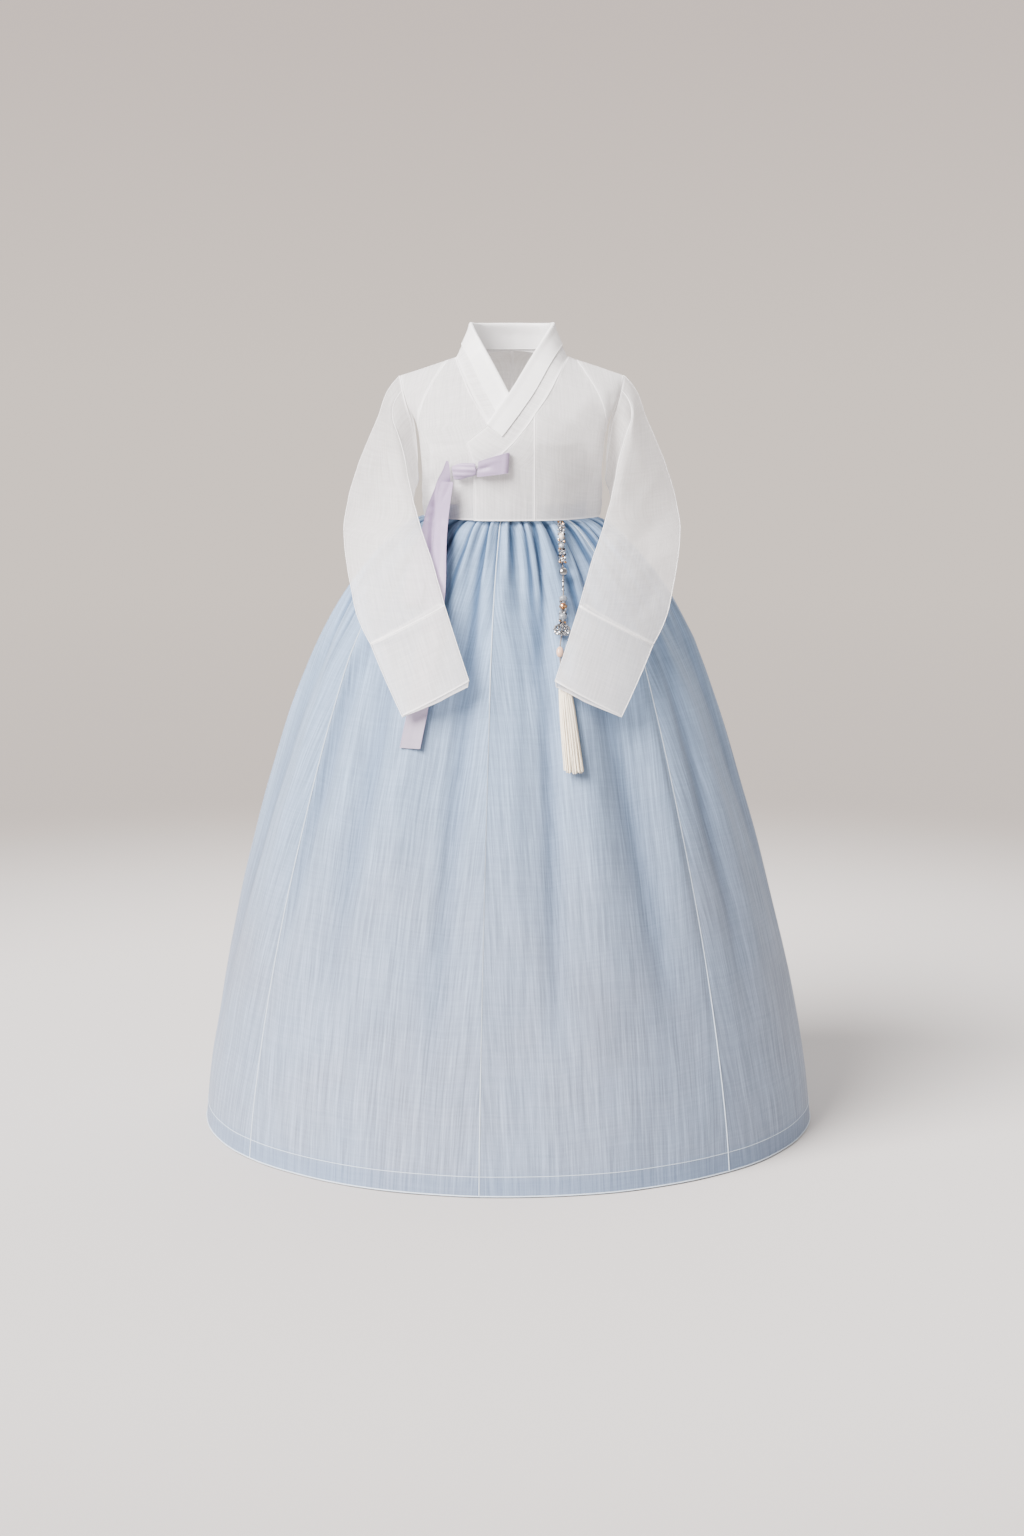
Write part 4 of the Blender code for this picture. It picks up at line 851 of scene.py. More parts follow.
# ---------------- beaded cord
CORD_ROUTE = (   # height, then x and y, from the ribbon's knot under the jacket down to the tassel's cap
    (-0.2524, 0.0761, -0.1068), (-0.2635, 0.0766, -0.1213), (-0.2745, 0.0770, -0.1325),
    (-0.2885, 0.0775, -0.1421), (-0.3000, 0.0780, -0.1504), (-0.3265, 0.0790, -0.1683),
    (-0.3660, 0.0790, -0.1913), (-0.3925, 0.0782, -0.2047), (-0.4137, 0.0765, -0.2156),
    (-0.4440, 0.0735, -0.2305), (-0.4650, 0.0745, -0.2403), (-0.4900, 0.0770, -0.2517))
CORD_DIAMETER = 0.0024
CORD_SIDES, CORD_TWIST = 10, 900.0     # twist in radians for each metre


def cord_line():
    """Points along the cord, on a smooth curve through its route."""
    z, x, y = np.array(CORD_ROUTE).T
    line = np.stack([x, y, z], axis=-1)[:, None]
    return refined(line, 0.0017, 0)[0][:, 0]


def beside(line):
    """Two unit directions at each point of a line, square to it and to each other."""
    along = np.gradient(line, axis=0)
    along /= np.linalg.norm(along, axis=1, keepdims=True)
    side = np.cross(along, (0.0, 1.0, 0.0))
    side /= np.linalg.norm(side, axis=1, keepdims=True)
    return side, np.cross(side, along)


def rings_round(line, side, out, radius, turn):
    """Rings of points round a line, with a radius for each point or each ring."""
    return line[:, None] + radius[..., None] * (side[:, None] * np.cos(turn)[None, :, None]
                                                + out[:, None] * np.sin(turn)[None, :, None])


def run_of(line):
    """Distance along a line of points, at each of them."""
    return np.concatenate([[0], np.cumsum(np.linalg.norm(np.diff(line, axis=0), axis=1))])


def turned_outwards(mesh, close=False):
    """Turns a mesh's faces outwards, once its open ends are closed where that is asked."""
    work = bmesh.new()
    work.from_mesh(mesh)
    if close:
        bmesh.ops.holes_fill(work, edges=[edge for edge in work.edges if edge.is_boundary], sides=0)
    bmesh.ops.recalc_face_normals(work, faces=work.faces)
    work.to_mesh(mesh)
    work.free()


def make_cord_piece(finish):
    """Two strands laid round each other: the section is a rounded eight that turns along the cord."""
    line = cord_line()
    turn = np.linspace(0, 2 * pi, CORD_SIDES + 1)
    waist = np.cos(2 * (turn[None] + CORD_TWIST * run_of(line)[:, None]))
    grid = rings_round(line, *beside(line), CORD_DIAMETER / 2 * (0.86 + 0.14 * waist), turn)
    grid[:, -1] = grid[:, 0]
    piece = cloth_piece("norigae_silk_cord", grid, finish, around=True)
    turned_outwards(piece.data, close=True)
    return piece, line


def closed_piece(name, rings, finish, hoop=False):
    """A closed body over rings of points: a hoop, or else a turned body with flat ends."""
    count, sides = rings.shape[:2]
    faces = [(row * sides + turn, row * sides + (turn + 1) % sides,
              (row + 1) % count * sides + (turn + 1) % sides, (row + 1) % count * sides + turn)
             for row in range(count if hoop else count - 1) for turn in range(sides)]
    if not hoop:
        faces += [tuple(range(sides)), tuple(range((count - 1) * sides, count * sides))[::-1]]
    mesh = bpy.data.meshes.new(name)
    mesh.from_pydata(rings.reshape(-1, 3).tolist(), [], faces)
    turned_outwards(mesh)
    mesh.shade_smooth()
    if not hoop:
        mesh.set_sharp_from_angle(angle=radians(38))
    mesh.materials.append(finish)
    return new_piece(name, mesh)


def turned_piece(name, line, radii, sides, finish):
    """A turned body about a line of points, with a radius at each."""
    turn = np.linspace(0, 2 * pi, sides, endpoint=False)
    return closed_piece(name, rings_round(line, *beside(line), radii[:, None], turn), finish)


# Profiles of beads: share of the length, share of the greatest radius
BEAD_SHAPES = {
    "round": [(-1.0, 0.30), (-0.94, 0.46), (-0.82, 0.64), (-0.6, 0.84), (-0.3, 0.97), (0.0, 1.0),
              (0.3, 0.97), (0.6, 0.84), (0.82, 0.64), (0.94, 0.46), (1.0, 0.30)],
    "ringed": [(-1.0, 0.42), (-0.9, 0.62), (-0.72, 0.66), (-0.62, 0.52), (-0.5, 0.74), (-0.25, 0.97),
               (0.0, 1.0), (0.25, 0.97), (0.5, 0.74), (0.62, 0.52), (0.72, 0.66), (0.9, 0.62), (1.0, 0.42)],
    "rod": [(-1.0, 0.62), (-0.95, 0.96), (-0.86, 1.0), (-0.8, 0.72), (-0.7, 0.7), (-0.66, 0.86), (-0.6, 0.7),
            (0.6, 0.7), (0.66, 0.86), (0.7, 0.7), (0.8, 0.72), (0.86, 1.0), (0.95, 0.96), (1.0, 0.62)],
    "cut": [(-1.0, 0.34), (-0.72, 0.78), (-0.28, 1.0), (0.28, 1.0), (0.72, 0.78), (1.0, 0.34)]}
CAP_PROFILE = ((0.0, 0.72), (0.06, 0.90), (0.14, 0.98), (0.22, 0.90), (0.30, 0.93), (0.55, 0.95),
               (0.72, 0.86), (0.84, 0.66), (0.92, 0.56), (0.97, 0.60), (1.0, 0.42))
# For each bead from the top: its shape, its sides and its finish
BEADS = (("ringed", 24, "silver"), ("round", 24, "pearl"), ("cut", 8, "glass"), ("ringed", 24, "silver"),
         ("round", 28, "silver"), ("rod", 20, "silver"), ("cut", 9, "glass"), ("ringed", 24, "gold"),
         ("cut", 9, "glass"), ("round", 28, "rose"), ("ringed", 24, "silver"))


def lie_of(node, line):
    """The points of a node on the cord, their middle, and the cord's direction there."""
    points, _ = merged(node)
    middle = points.mean(axis=0)
    nearest = int(np.linalg.norm(line - middle, axis=1).argmin())
    along = line[min(nearest + 2, len(line) - 1)] - line[max(nearest - 2, 0)]
    return points, middle, along / np.linalg.norm(along)


def bead_piece(number, shape, sides, finish, line):
    """A bead of a shape in the place and size of its node, turned about the cord."""
    points, middle, along = lie_of(f"norigae_bead_{number:02d}", line)
    reach = (points - middle) @ along
    radius = np.linalg.norm(points - middle - reach[:, None] * along, axis=1).max()
    profile = np.array(BEAD_SHAPES[shape])
    places = middle + along * profile[:, :1] * reach.max() * 0.98
    return turned_piece(f"norigae_{shape}_bead_{number:02d}", places, profile[:, 1] * radius, sides, finish)


LOBES, LOBE_DEPTH = 4, 0.14
RING_STEPS, RING_PLEATS = 120, 28
# Rows of stones: height in the ring's thickness, reach in its size, first turn, how many
STONE_ROWS = ((0.9, 0.9, 0.0, 12), (0.3, 0.5, 0.3, 7))


def ornament_piece(line, finish):
    """The lobed open ring with its pleated edge, on the node's own middle and sizes, and where its
    stones sit: a row round its face and a row inside it, with one in the middle."""
    points, middle, along = lie_of("norigae_ornament", line)
    side = np.cross(along, (0.0, 1.0, 0.0))
    side /= np.linalg.norm(side)
    up = np.cross(along, side)
    up = -up if up[1] > 0 else up
    half_width, half_height, thick = (np.abs((points - middle) @ way).max() for way in (side, along, up))
    turns = np.linspace(0, 2 * pi, RING_STEPS + 1)
    lobes = 1 - LOBE_DEPTH * np.cos(LOBES * turns)
    lobes /= lobes.max()
    wide, high = half_width - thick * 0.95, half_height - thick * 0.95
    path = (middle + side * (wide * np.cos(turns) * lobes)[:, None]
            + along * (high * np.sin(turns) * lobes)[:, None])
    outward = side * np.cos(turns)[:, None] * high + along * np.sin(turns)[:, None] * wide
    outward /= np.linalg.norm(outward, axis=1, keepdims=True)
    section = np.linspace(0, 2 * pi, 17)
    pleat = 1 + 0.10 * np.cos(RING_PLEATS * turns)
    radius = thick * 0.92 * (1 - 0.10 * (1 + np.cos(2 * section))[None]) * pleat[:, None]
    grid = rings_round(path, outward, np.broadcast_to(up, path.shape), radius, section)
    ring = closed_piece("norigae_lobed_ring", grid[:-1, :-1], finish, hoop=True)
    spots = []
    for lift, reach, start, count in STONE_ROWS:
        base = middle + up * thick * lift
        spots += [base + side * cos(turn) * wide * reach + along * sin(turn) * high * reach
                  for turn in np.linspace(start, 2 * pi + start, count, endpoint=False)]
    return ring, spots + [middle]


def stone_tree():
    """A small cut stone on each point of the mesh, each turned its own way."""
    tree, given, result = growing_tree("stones", [("Radius", "Float", 0.001), ("Sides", "Int", 8)])
    spots = put(tree, "GeometryNodeMeshToPoints", {"Mesh": given["Geometry"]}).outputs[0]
    stone = put(tree, "GeometryNodeMeshUVSphere",
                {"Segments": given["Sides"], "Rings": 5, "Radius": given["Radius"]}).outputs["Mesh"]
    spin = put(tree, "FunctionNodeRandomValue", {1: (2 * pi, 2 * pi, 2 * pi), "Seed": 4},
               data_type="FLOAT_VECTOR")
    turned = put(tree, "FunctionNodeEulerToRotation", {0: spin.outputs[0]}).outputs[0]
    copies = put(tree, "GeometryNodeInstanceOnPoints",
                 {"Points": spots, "Instance": stone, "Rotation": turned}).outputs[0]
    return finished(tree, copies, given, result, smooth=False)


# Heights between which small beads crowd round the cord, their step and their reach from its middle
CLUSTERS = ((-0.2540, -0.3150), (-0.3680, -0.4060))
CLUSTER_STEP, CLUSTER_REACH, SMALL_BEAD = 0.0042, 0.0044, 0.0022
CRYSTAL, STONE_SIDES = 0.0027, 8     # radius of the ornament's crystals, sides of each small stone


def crowded(line, beads):
    """Middles of the small beads, in four lots, clear of the large ones."""
    run = run_of(line)
    lots = [[], [], [], []]
    boxes = [np.array([corner[:] for corner in bead.bound_box]) for bead in beads]
    large = [(box.mean(axis=0), np.ptp(box, axis=0).max()) for box in boxes]
    for number, place in enumerate(np.arange(0, run[-1], CLUSTER_STEP)):
        middle = np.array([np.interp(place, run, line[:, axis]) for axis in range(3)])
        if not any(bottom < middle[2] < top for top, bottom in CLUSTERS):
            continue
        for quarter in range(4):
            turn = 0.9 * number + quarter * pi / 2
            spot = middle + CLUSTER_REACH * np.array((cos(turn), sin(turn) * 0.9, sin(turn) * 0.45))
            if all(np.linalg.norm(spot - centre) >= 0.45 * size for centre, size in large):
                lots[(number * 3 + quarter * 2 + number // 3) % 4].append(spot)
    return lots


HEAD_DEPTH = 0.0125          # of the tassel's round head
# Strands of the tassel: how many, and the sizes of one
STRANDS, STRAND_RADIUS, STRAND_STEPS = 130, 0.0010, 9
STRAND_UNEVEN = 0.045        # of the tassel's length, at most
STRAND_DRIFT = 0.00045       # sideways, from step to step
STRAND_TAPER = 0.72          # of its thickness, at its end


def strand_tree():
    """A tapering thread along each line of the mesh."""
    tree, given, result = growing_tree("strands", [("Radius", "Float", STRAND_RADIUS), ("Sides", "Int", 5)])
    curve = put(tree, "GeometryNodeMeshToCurve", {"Mesh": given["Geometry"]}).outputs[0]
    share = put(tree, "GeometryNodeSplineParameter").outputs["Factor"]
    pick = put(tree, "FunctionNodeRandomValue", {"Seed": 9}, data_type="FLOAT").outputs[1]
    inputs = {"Geometry": curve, "Name": "thread", "Value": pick}
    named = put(tree, "GeometryNodeStoreNamedAttribute", inputs, data_type="FLOAT", domain="CURVE")
    slim = mapped(tree, share, 0.0, 1.0, 1.0, STRAND_TAPER)
    return finished(tree, tube_along(tree, named.outputs[0], given, slim), given, result)


def middle_and_half(points):
    low, high = points.min(axis=0), points.max(axis=0)
    return (low + high) / 2, (high - low) / 2


def tassel_piece(silk):
    """Silk threads in the node's own outline, uneven in length and place, from one head."""
    points, _ = merged("norigae_tassel")
    top, bottom = points[:, 2].max(), points[:, 2].min()
    head, head_half = middle_and_half(points[points[:, 2] > top - HEAD_DEPTH])
    end, end_half = middle_and_half(points[points[:, 2] < bottom + 0.004])
    rng = np.random.default_rng(11)
    lines, edges = [], []
    for number in range(STRANDS):
        turn = number * pi * (3 - 5 ** 0.5)
        reach = ((number + 0.5) / STRANDS) ** 0.5
        spot = np.array((cos(turn), sin(turn), 0.0)) * reach
        length = (top - bottom) * (1 - rng.uniform(0, STRAND_UNEVEN) - 0.012 * (1 - reach))
        wander = rng.normal(0, STRAND_DRIFT, (STRAND_STEPS, 2)).cumsum(axis=0) * 0.5
        edges += [(len(lines) + step, len(lines) + step + 1) for step in range(STRAND_STEPS - 1)]
        for share, drift in zip(np.arange(STRAND_STEPS) / (STRAND_STEPS - 1), wander):
            middle = head * (1 - share) + end * share
            half = head_half * (1 - share) + end_half * share
            place = middle + spot * half * (0.80 + 0.16 * min(share * 3, 1))
            place[:2] += drift * min(share * 2, 1)
            place[2] = top - 0.002 - length * share * 0.985
            lines.append(place)
    return grown("norigae_tassel_threads", lines, edges, strand_tree(), STRAND_RADIUS, 5, silk)


def cap_piece(silver):
    """The turned cap over the tassel's head, with two beaded rims."""
    points, _ = merged("norigae_cap")
    low, high = points[:, 2].min(), points[:, 2].max()
    bottom = points[points[:, 2] < low + 0.001].mean(axis=0)
    top = points[points[:, 2] > high - 0.001].mean(axis=0)
    radius = np.linalg.norm(points[:, :2] - (top + bottom)[:2] / 2, axis=1).max()
    profile = np.array(CAP_PROFILE)
    places = bottom + (top - bottom) * profile[:, :1]
    return turned_piece("norigae_turned_cap", places, profile[:, 1] * radius * 0.94, 28, silver)


# ---------------- jacket
# Soft creases in the front view: from x, z to x, z, half width, height (a trough is negative)
BODY_CREASES = (
    (0.150, -0.075, 0.095, -0.150, 0.013, -0.0014), (0.148, -0.110, 0.120, -0.215, 0.010, 0.0012),
    (0.125, -0.060, 0.070, -0.118, 0.011, 0.0011), (0.145, -0.165, 0.105, -0.240, 0.014, -0.0012),
    (0.060, -0.170, 0.052, -0.245, 0.010, 0.0009), (0.092, -0.190, 0.088, -0.248, 0.008, -0.0010),
    (-0.148, -0.078, -0.100, -0.145, 0.012, -0.0014), (-0.140, -0.120, -0.118, -0.225, 0.010, 0.0012),
    (-0.118, -0.052, -0.080, -0.105, 0.010, 0.0010), (-0.096, -0.150, -0.128, -0.205, 0.009, -0.0013),
    (-0.075, -0.192, -0.070, -0.246, 0.008, 0.0008), (-0.020, -0.195, -0.028, -0.245, 0.010, -0.0008),
    (0.010, -0.150, 0.004, -0.235, 0.012, 0.0008))
BACK_CREASES = (
    (0.150, -0.050, 0.060, -0.100, 0.014, -0.0015), (0.140, -0.100, 0.105, -0.225, 0.013, 0.0014),
    (0.060, -0.035, 0.030, -0.120, 0.012, 0.0010), (0.075, -0.150, 0.066, -0.245, 0.011, -0.0013),
    (-0.150, -0.055, -0.068, -0.110, 0.013, -0.0014), (-0.138, -0.110, -0.100, -0.230, 0.012, 0.0013),
    (-0.050, -0.040, -0.026, -0.130, 0.012, 0.0011), (-0.060, -0.165, -0.055, -0.246, 0.010, -0.0012),
    (0.020, -0.120, 0.022, -0.235, 0.010, 0.0009), (-0.016, -0.150, -0.018, -0.240, 0.009, -0.0009))
SLEEVE_CREASES = (   # on the left sleeve; the right one has them mirrored and a little longer
    (0.200, -0.075, 0.222, -0.150, 0.012, -0.0022), (0.180, -0.120, 0.212, -0.175, 0.011, 0.0019),
    (0.165, -0.185, 0.230, -0.235, 0.013, -0.0020), (0.240, -0.165, 0.190, -0.245, 0.012, 0.0017),
    (0.255, -0.235, 0.185, -0.290, 0.014, -0.0021), (0.160, -0.260, 0.215, -0.305, 0.010, 0.0016),
    (0.248, -0.300, 0.170, -0.345, 0.013, 0.0018), (0.150, -0.310, 0.205, -0.375, 0.011, -0.0017),
    (0.235, -0.345, 0.180, -0.400, 0.012, -0.0016), (0.135, -0.350, 0.175, -0.405, 0.010, 0.0013),
    (0.179, -0.080, 0.168, -0.210, 0.009, 0.0038))
ARMHOLE_TUCK = ((0.160, -0.062, 0.146, -0.220, 0.0080, -0.0065),)    # shared by the sleeve and the body
CUFF_CREASES = (
    (0.200, -0.440, 0.120, -0.410, 0.010, 0.0008), (0.185, -0.480, 0.110, -0.445, 0.009, -0.0008),
    (0.160, -0.500, 0.100, -0.470, 0.008, 0.0006))

CUFF_DROP = 0.014    # the back layer of a cuff hangs this much lower at its opening
JACKET_RIPPLES = (0.11, 0.0007, 0.12)    # size, height and calm share of the width

FLAT_PIECES = (   # node, edges that a seam or a fold doubles, seed of its ripples
    ("jacket_back_left", "left right bottom", 3), ("jacket_back_right", "left right bottom", 4),
    ("jacket_front_right", "left right bottom", 5), ("jacket_front_left", "left bottom", 6),
    ("jacket_overlap_left", "left right bottom", 7), ("jacket_yoke_left", "left right", 8),
    ("jacket_yoke_right", "left right", 9))


def mirrored(creases, longer=1.0):
    return [(-x0, z0, -x1 * longer, z1, width, height) for x0, z0, x1, z1, width, height in creases]


def jacket_body(finish, lines):
    """The flat pieces of the jacket's body, each creased and rippled, and their hems' lines."""
    made = {}
    for node, doubled, seed in FLAT_PIECES:
        grid, _ = smooth_sheet(open_grid(node), JACKET_STEP)
        creases = BACK_CREASES if "back" in node else BODY_CREASES
        grid = creased(grid, (*creases, *ARMHOLE_TUCK, *mirrored(ARMHOLE_TUCK)))
        grid = rippled(grid, seed, *JACKET_RIPPLES)
        layer = near_edges(grid, ALLOWANCE, doubled)
        piece = cloth_piece(f"{node}_ramie", grid, finish, values={"layer": layer})
        made[node] = (piece, grid)
        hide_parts(node)
        lines.append(grid[-1])
    return made


TUBES = (   # node, the way that its first column faces, creases
    ("sleeve_left", UP, (*SLEEVE_CREASES, *ARMHOLE_TUCK)),
    ("cuff_left", np.array((1.0, 0.0, 0.0)), CUFF_CREASES),
    ("sleeve_right", UP, (*mirrored(SLEEVE_CREASES, 1.02), *mirrored(ARMHOLE_TUCK))),
    ("cuff_right", np.array((-1.0, 0.0, 0.0)), mirrored(CUFF_CREASES)))


def hung_open(grid):
    """A cuff whose back layer hangs lower towards the opening."""
    middle = grid[..., 1].mean(axis=1, keepdims=True)
    back = np.clip((grid[..., 1] - middle) / np.ptp(grid[..., 1], axis=1)[:, None] * 2, 0, 1)
    low = np.clip(np.linspace(-2.0, 1.0, len(grid)), 0, 1)[:, None] ** 2
    down = grid[-1].mean(axis=0) - grid[0].mean(axis=0)
    down /= np.linalg.norm(down)
    return grid + (CUFF_DROP * back * low)[..., None] * down


def sleeves(finish, cuff_finish, lines, cuff_lines):
    """Sleeves and cuffs, each a flattened tube with two lower folds, of which one is the seam's."""
    made = {}
    for node, start, creases in TUBES:
        is_cuff = node.startswith("cuff")
        rings = tube_grid(node, start)
        probe = rings[len(rings) // 2]
        folds, seam = ((5, 11), 5) if probe[2, 1] < probe[-4, 1] else ((7, 13), 13)
        grid, columns = smooth_sheet(rings, JACKET_STEP, folds)
        grid = creased(grid, creases, around=True)
        if is_cuff:
            grid = hung_open(grid)
        layer = near_edges(grid, ALLOWANCE, "top bottom")
        grid[:, -1] = grid[:, 0]
        piece = cloth_piece(f"{node}_ramie", grid, cuff_finish if is_cuff else finish, around=True,
                            values={"layer": layer})
        made[node] = (piece, grid)
        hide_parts(node)
        lines += [grid[:, 0], grid[:, int(np.flatnonzero(columns == seam)[0])]]
        if is_cuff:
            cuff_lines += [grid[0], grid[-1]]
    return made


def collar(finish, white, lines, trim_lines):
    """The collar band, and the white strip folded over its edge."""
    band, _ = smooth_sheet(open_grid("collar_band"), 0.0028)
    layer = near_edges(band, 0.0035, "left right top bottom")
    band_piece = cloth_piece("collar_band_ramie", band, finish, values={"layer": layer})
    strip, _ = smooth_sheet(open_grid("collar_trim"), (0.0025, 0.0020))
    strip_piece = cloth_piece("collar_trim_satin", strip, white, thickness=TRIM_SHELL)
    made = {"collar_band": (band_piece, band), "collar_trim": (strip_piece, strip)}
    for (node, (piece, grid)), edges in zip(made.items(), (lines, trim_lines)):
        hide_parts(node)
        edges += [grid[0], grid[-1], grid[:, 0], grid[:, -1]]
    return made


# ---------------- skirt
# Long soft folds between the pleats: pleat number round the skirt, drift in pleats down its run,
# top, bottom, half width in pleats, height (a trough is negative)
SKIRT_FOLDS = (
    (1.72, -0.2, -0.36, -1.06, 0.25, -0.0100), (2.5, 0.3, -0.34, -0.98, 0.45, 0.0072),
    (3.4, 0.7, -0.46, -1.06, 0.36, -0.0078), (4.6, 0.2, -0.40, -1.00, 0.45, 0.0070),
    (5.8, 0.3, -0.40, -1.02, 0.32, -0.0081), (6.6, 0.1, -0.42, -1.10, 0.45, 0.0065),
    (0.7, 0.0, -0.34, -0.92, 0.35, 0.0058), (34.4, -0.4, -0.34, -1.08, 0.30, -0.0085),
    (33.0, -0.3, -0.36, -1.00, 0.45, 0.0075), (31.9, -0.3, -0.40, -0.98, 0.38, -0.0070),
    (31.1, -0.2, -0.42, -1.00, 0.36, 0.0067), (30.4, -0.3, -0.40, -0.94, 0.30, -0.0084),
    (29.3, -0.1, -0.42, -1.08, 0.45, 0.0067), (7.7, 0.5, -0.30, -0.98, 0.38, -0.0075),
    (9.1, 0.1, -0.45, -1.15, 0.60, -0.0087), (10.8, -0.4, -0.33, -1.00, 0.40, 0.0067),
    (12.2, 0.3, -0.45, -1.12, 0.55, -0.0090), (13.9, 0.2, -0.31, -0.95, 0.40, 0.0067),
    (15.4, -0.3, -0.42, -1.10, 0.50, -0.0093), (16.8, 0.4, -0.33, -1.05, 0.42, 0.0072),
    (18.3, 0.1, -0.36, -1.08, 0.46, -0.0084), (19.9, -0.2, -0.34, -0.95, 0.40, 0.0070),
    (21.4, 0.3, -0.44, -1.12, 0.52, -0.0093), (23.1, -0.4, -0.34, -1.02, 0.42, 0.0070),
    (24.5, 0.2, -0.42, -1.10, 0.46, -0.0087), (26.2, 0.4, -0.34, -0.98, 0.40, 0.0067),
    (27.6, -0.2, -0.44, -1.12, 0.50, -0.0087))
# Narrow valleys that run down from the waist between the pleats: pleat number, drift, bottom, half
# width, height; those of the sides and back are spaced unevenly by a rule
WAIST_VALLEYS = (
    (30.60, 0.0, -0.445, 0.19, -0.0051), (31.10, 0.1, -0.405, 0.16, -0.0044),
    (31.70, 0.0, -0.465, 0.27, -0.0062), (32.40, -0.1, -0.445, 0.35, -0.0069),
    (33.30, 0.0, -0.435, 0.18, -0.0053), (34.25, 0.0, -0.485, 0.20, -0.0066),
    (35.00, 0.0, -0.395, 0.15, -0.0042), (0.75, 0.0, -0.385, 0.15, -0.0032),
    (1.50, -0.2, -0.475, 0.19, -0.0066), (2.20, -1.0, -0.475, 0.19, -0.0062),
    (3.08, 0.1, -0.505, 0.19, -0.0060), (3.70, 0.1, -0.405, 0.14, -0.0039),
    (4.33, 0.3, -0.465, 0.18, -0.0060), (5.30, 0.2, -0.495, 0.20, -0.0062),
    (6.00, 0.2, -0.465, 0.16, -0.0053), (6.60, 0.1, -0.445, 0.16, -0.0051),
    *((7.3 + 0.76 * step + 0.15 * sin(2.3 * step), 0.2 * sin(1.7 * step), -0.44 - 0.045 * sin(3.1 * step),
       0.19 + 0.04 * sin(1.3 * step), -0.0055 + 0.0010 * sin(2.9 * step)) for step in range(31)))
VALLEY_WIDTH = 0.64          # of the widths that the valleys are listed with
VALLEY_LENGTH = 1.3          # of the lengths that they are listed with, as they fade out slowly
VALLEY_TOP = -0.244          # where they begin, just above the jacket's hem
PLEATS, PANELS = 35, 7
COLUMNS_A_PLEAT = 4
SOFT_FOLD_SHADE = 0.40            # how much of the narrow valleys' painted shade the trough of a broad fold takes
GATHER_HEIGHT = 0.0011       # of the fine gathers between the pleats
GATHER_PLACE, GATHER_SPREAD = -0.285, 0.075      # height that they are deepest at, and how they die out
GATHERS_A_PLEAT = 2.5
SKIRT_RIPPLES = (0.16, 0.0006, 0.08)     # size, height and calm share of the width
FIRST_SKIRT_SEED = 20


def ditch(pleat, place, drift, run, spread):
    """How much of a fold's height each point takes: its place and drift are in pleats round the
    skirt, and run goes from nought at the fold's top to one at its bottom."""
    away = (pleat - place - drift * run + PLEATS / 2) % PLEATS - PLEATS / 2
    return np.exp(-(away / spread) ** 2)


def skirt_relief(grid, pleat):
    """Height of the folds, valleys and fine gathers at each point of a panel, and the share of
    painted shade that a point takes in the valleys and fold troughs, from nought to one."""
    z = grid[..., 2]
    lift, shade_share = np.zeros(z.shape), np.zeros(z.shape)
    for place, drift, top, bottom, width, height in SKIRT_FOLDS:
        run = np.clip((top - z) / (top - bottom), 0, 1)
        share = np.sin(pi * run ** 0.8) ** 0.8 * ditch(pleat, place, drift, run, width)
        lift += height * share
        shade_share += SOFT_FOLD_SHADE * share * (height < 0)
    for place, drift, bottom, width, height in WAIST_VALLEYS:
        run = np.clip((VALLEY_TOP - z) / (VALLEY_LENGTH * (VALLEY_TOP - bottom)), 0, 1)
        fade = np.clip(run * 30, 0, 1) * (1 - run) ** 1.25
        share = fade * ditch(pleat, place, drift, run, VALLEY_WIDTH * width * (1 + run))
        lift += height * share
        shade_share += 2.1 * share ** 1.3
    near_waist = np.exp(-((z - GATHER_PLACE) / GATHER_SPREAD) ** 2)
    uneven = 0.6 + 0.4 * np.sin(pleat * 1.7)
    waves = np.sin(2 * pi * pleat * GATHERS_A_PLEAT + 1.2 * np.sin(pleat * 2.1))
    lift += GATHER_HEIGHT * near_waist * uneven * waves
    return lift, np.clip(shade_share, 0, 1)


def skirt(finish, lines, hem_lines, fold_lines):
    """The pleated panels, with the lines of their seams, their hem and the hem's stitching."""
    made = {}
    for panel in range(PANELS):
        node = f"skirt_panel_{panel + 1}"
        grid, columns = smooth_sheet(open_grid(node), SKIRT_STEP)
        pleat = (panel * PLEATS / PANELS + columns / COLUMNS_A_PLEAT)[None, :]
        edge = np.clip(np.minimum(columns, columns[-1] - columns) / 0.8, 0, 1)[None, :]
        # painted shade: the share of painted shade at each point goes to the cloth as an attribute
        lift, valley_shade = skirt_relief(grid, pleat)
        grid = grid + normals_of(grid) * (lift * edge)[..., None]
        grid = rippled(grid, FIRST_SKIRT_SEED + panel, *SKIRT_RIPPLES)
        _, down = arc_lengths(grid)
        hem = np.clip((HEM_FOLD - (down[-1:] - down)) / 0.0015 + 0.5, 0, 1)
        piece = cloth_piece(f"{node}_ramie", grid, finish, thickness=SKIRT_SHELL,
                            values={"hem": hem, "valley_shade": valley_shade})
        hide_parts(node)
        made[node] = (piece, grid)
        lines.append(grid[:, 0])
        hem_lines.append(grid[-1])
        fold_lines.append(grid[int(np.argmin(np.abs((down[-1] - down)[:, 0] - HEM_FOLD)))])
    return made


def chest_band(finish):
    """The cotton band under the jacket that the skirt is gathered to."""
    grid, _ = smooth_sheet(tube_grid("skirt_band"), 0.006)
    grid[:, -1] = grid[:, 0]
    piece = cloth_piece("skirt_band_cotton", grid, finish, around=True, thickness=BAND_SHELL)
    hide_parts("skirt_band")
    return piece, grid


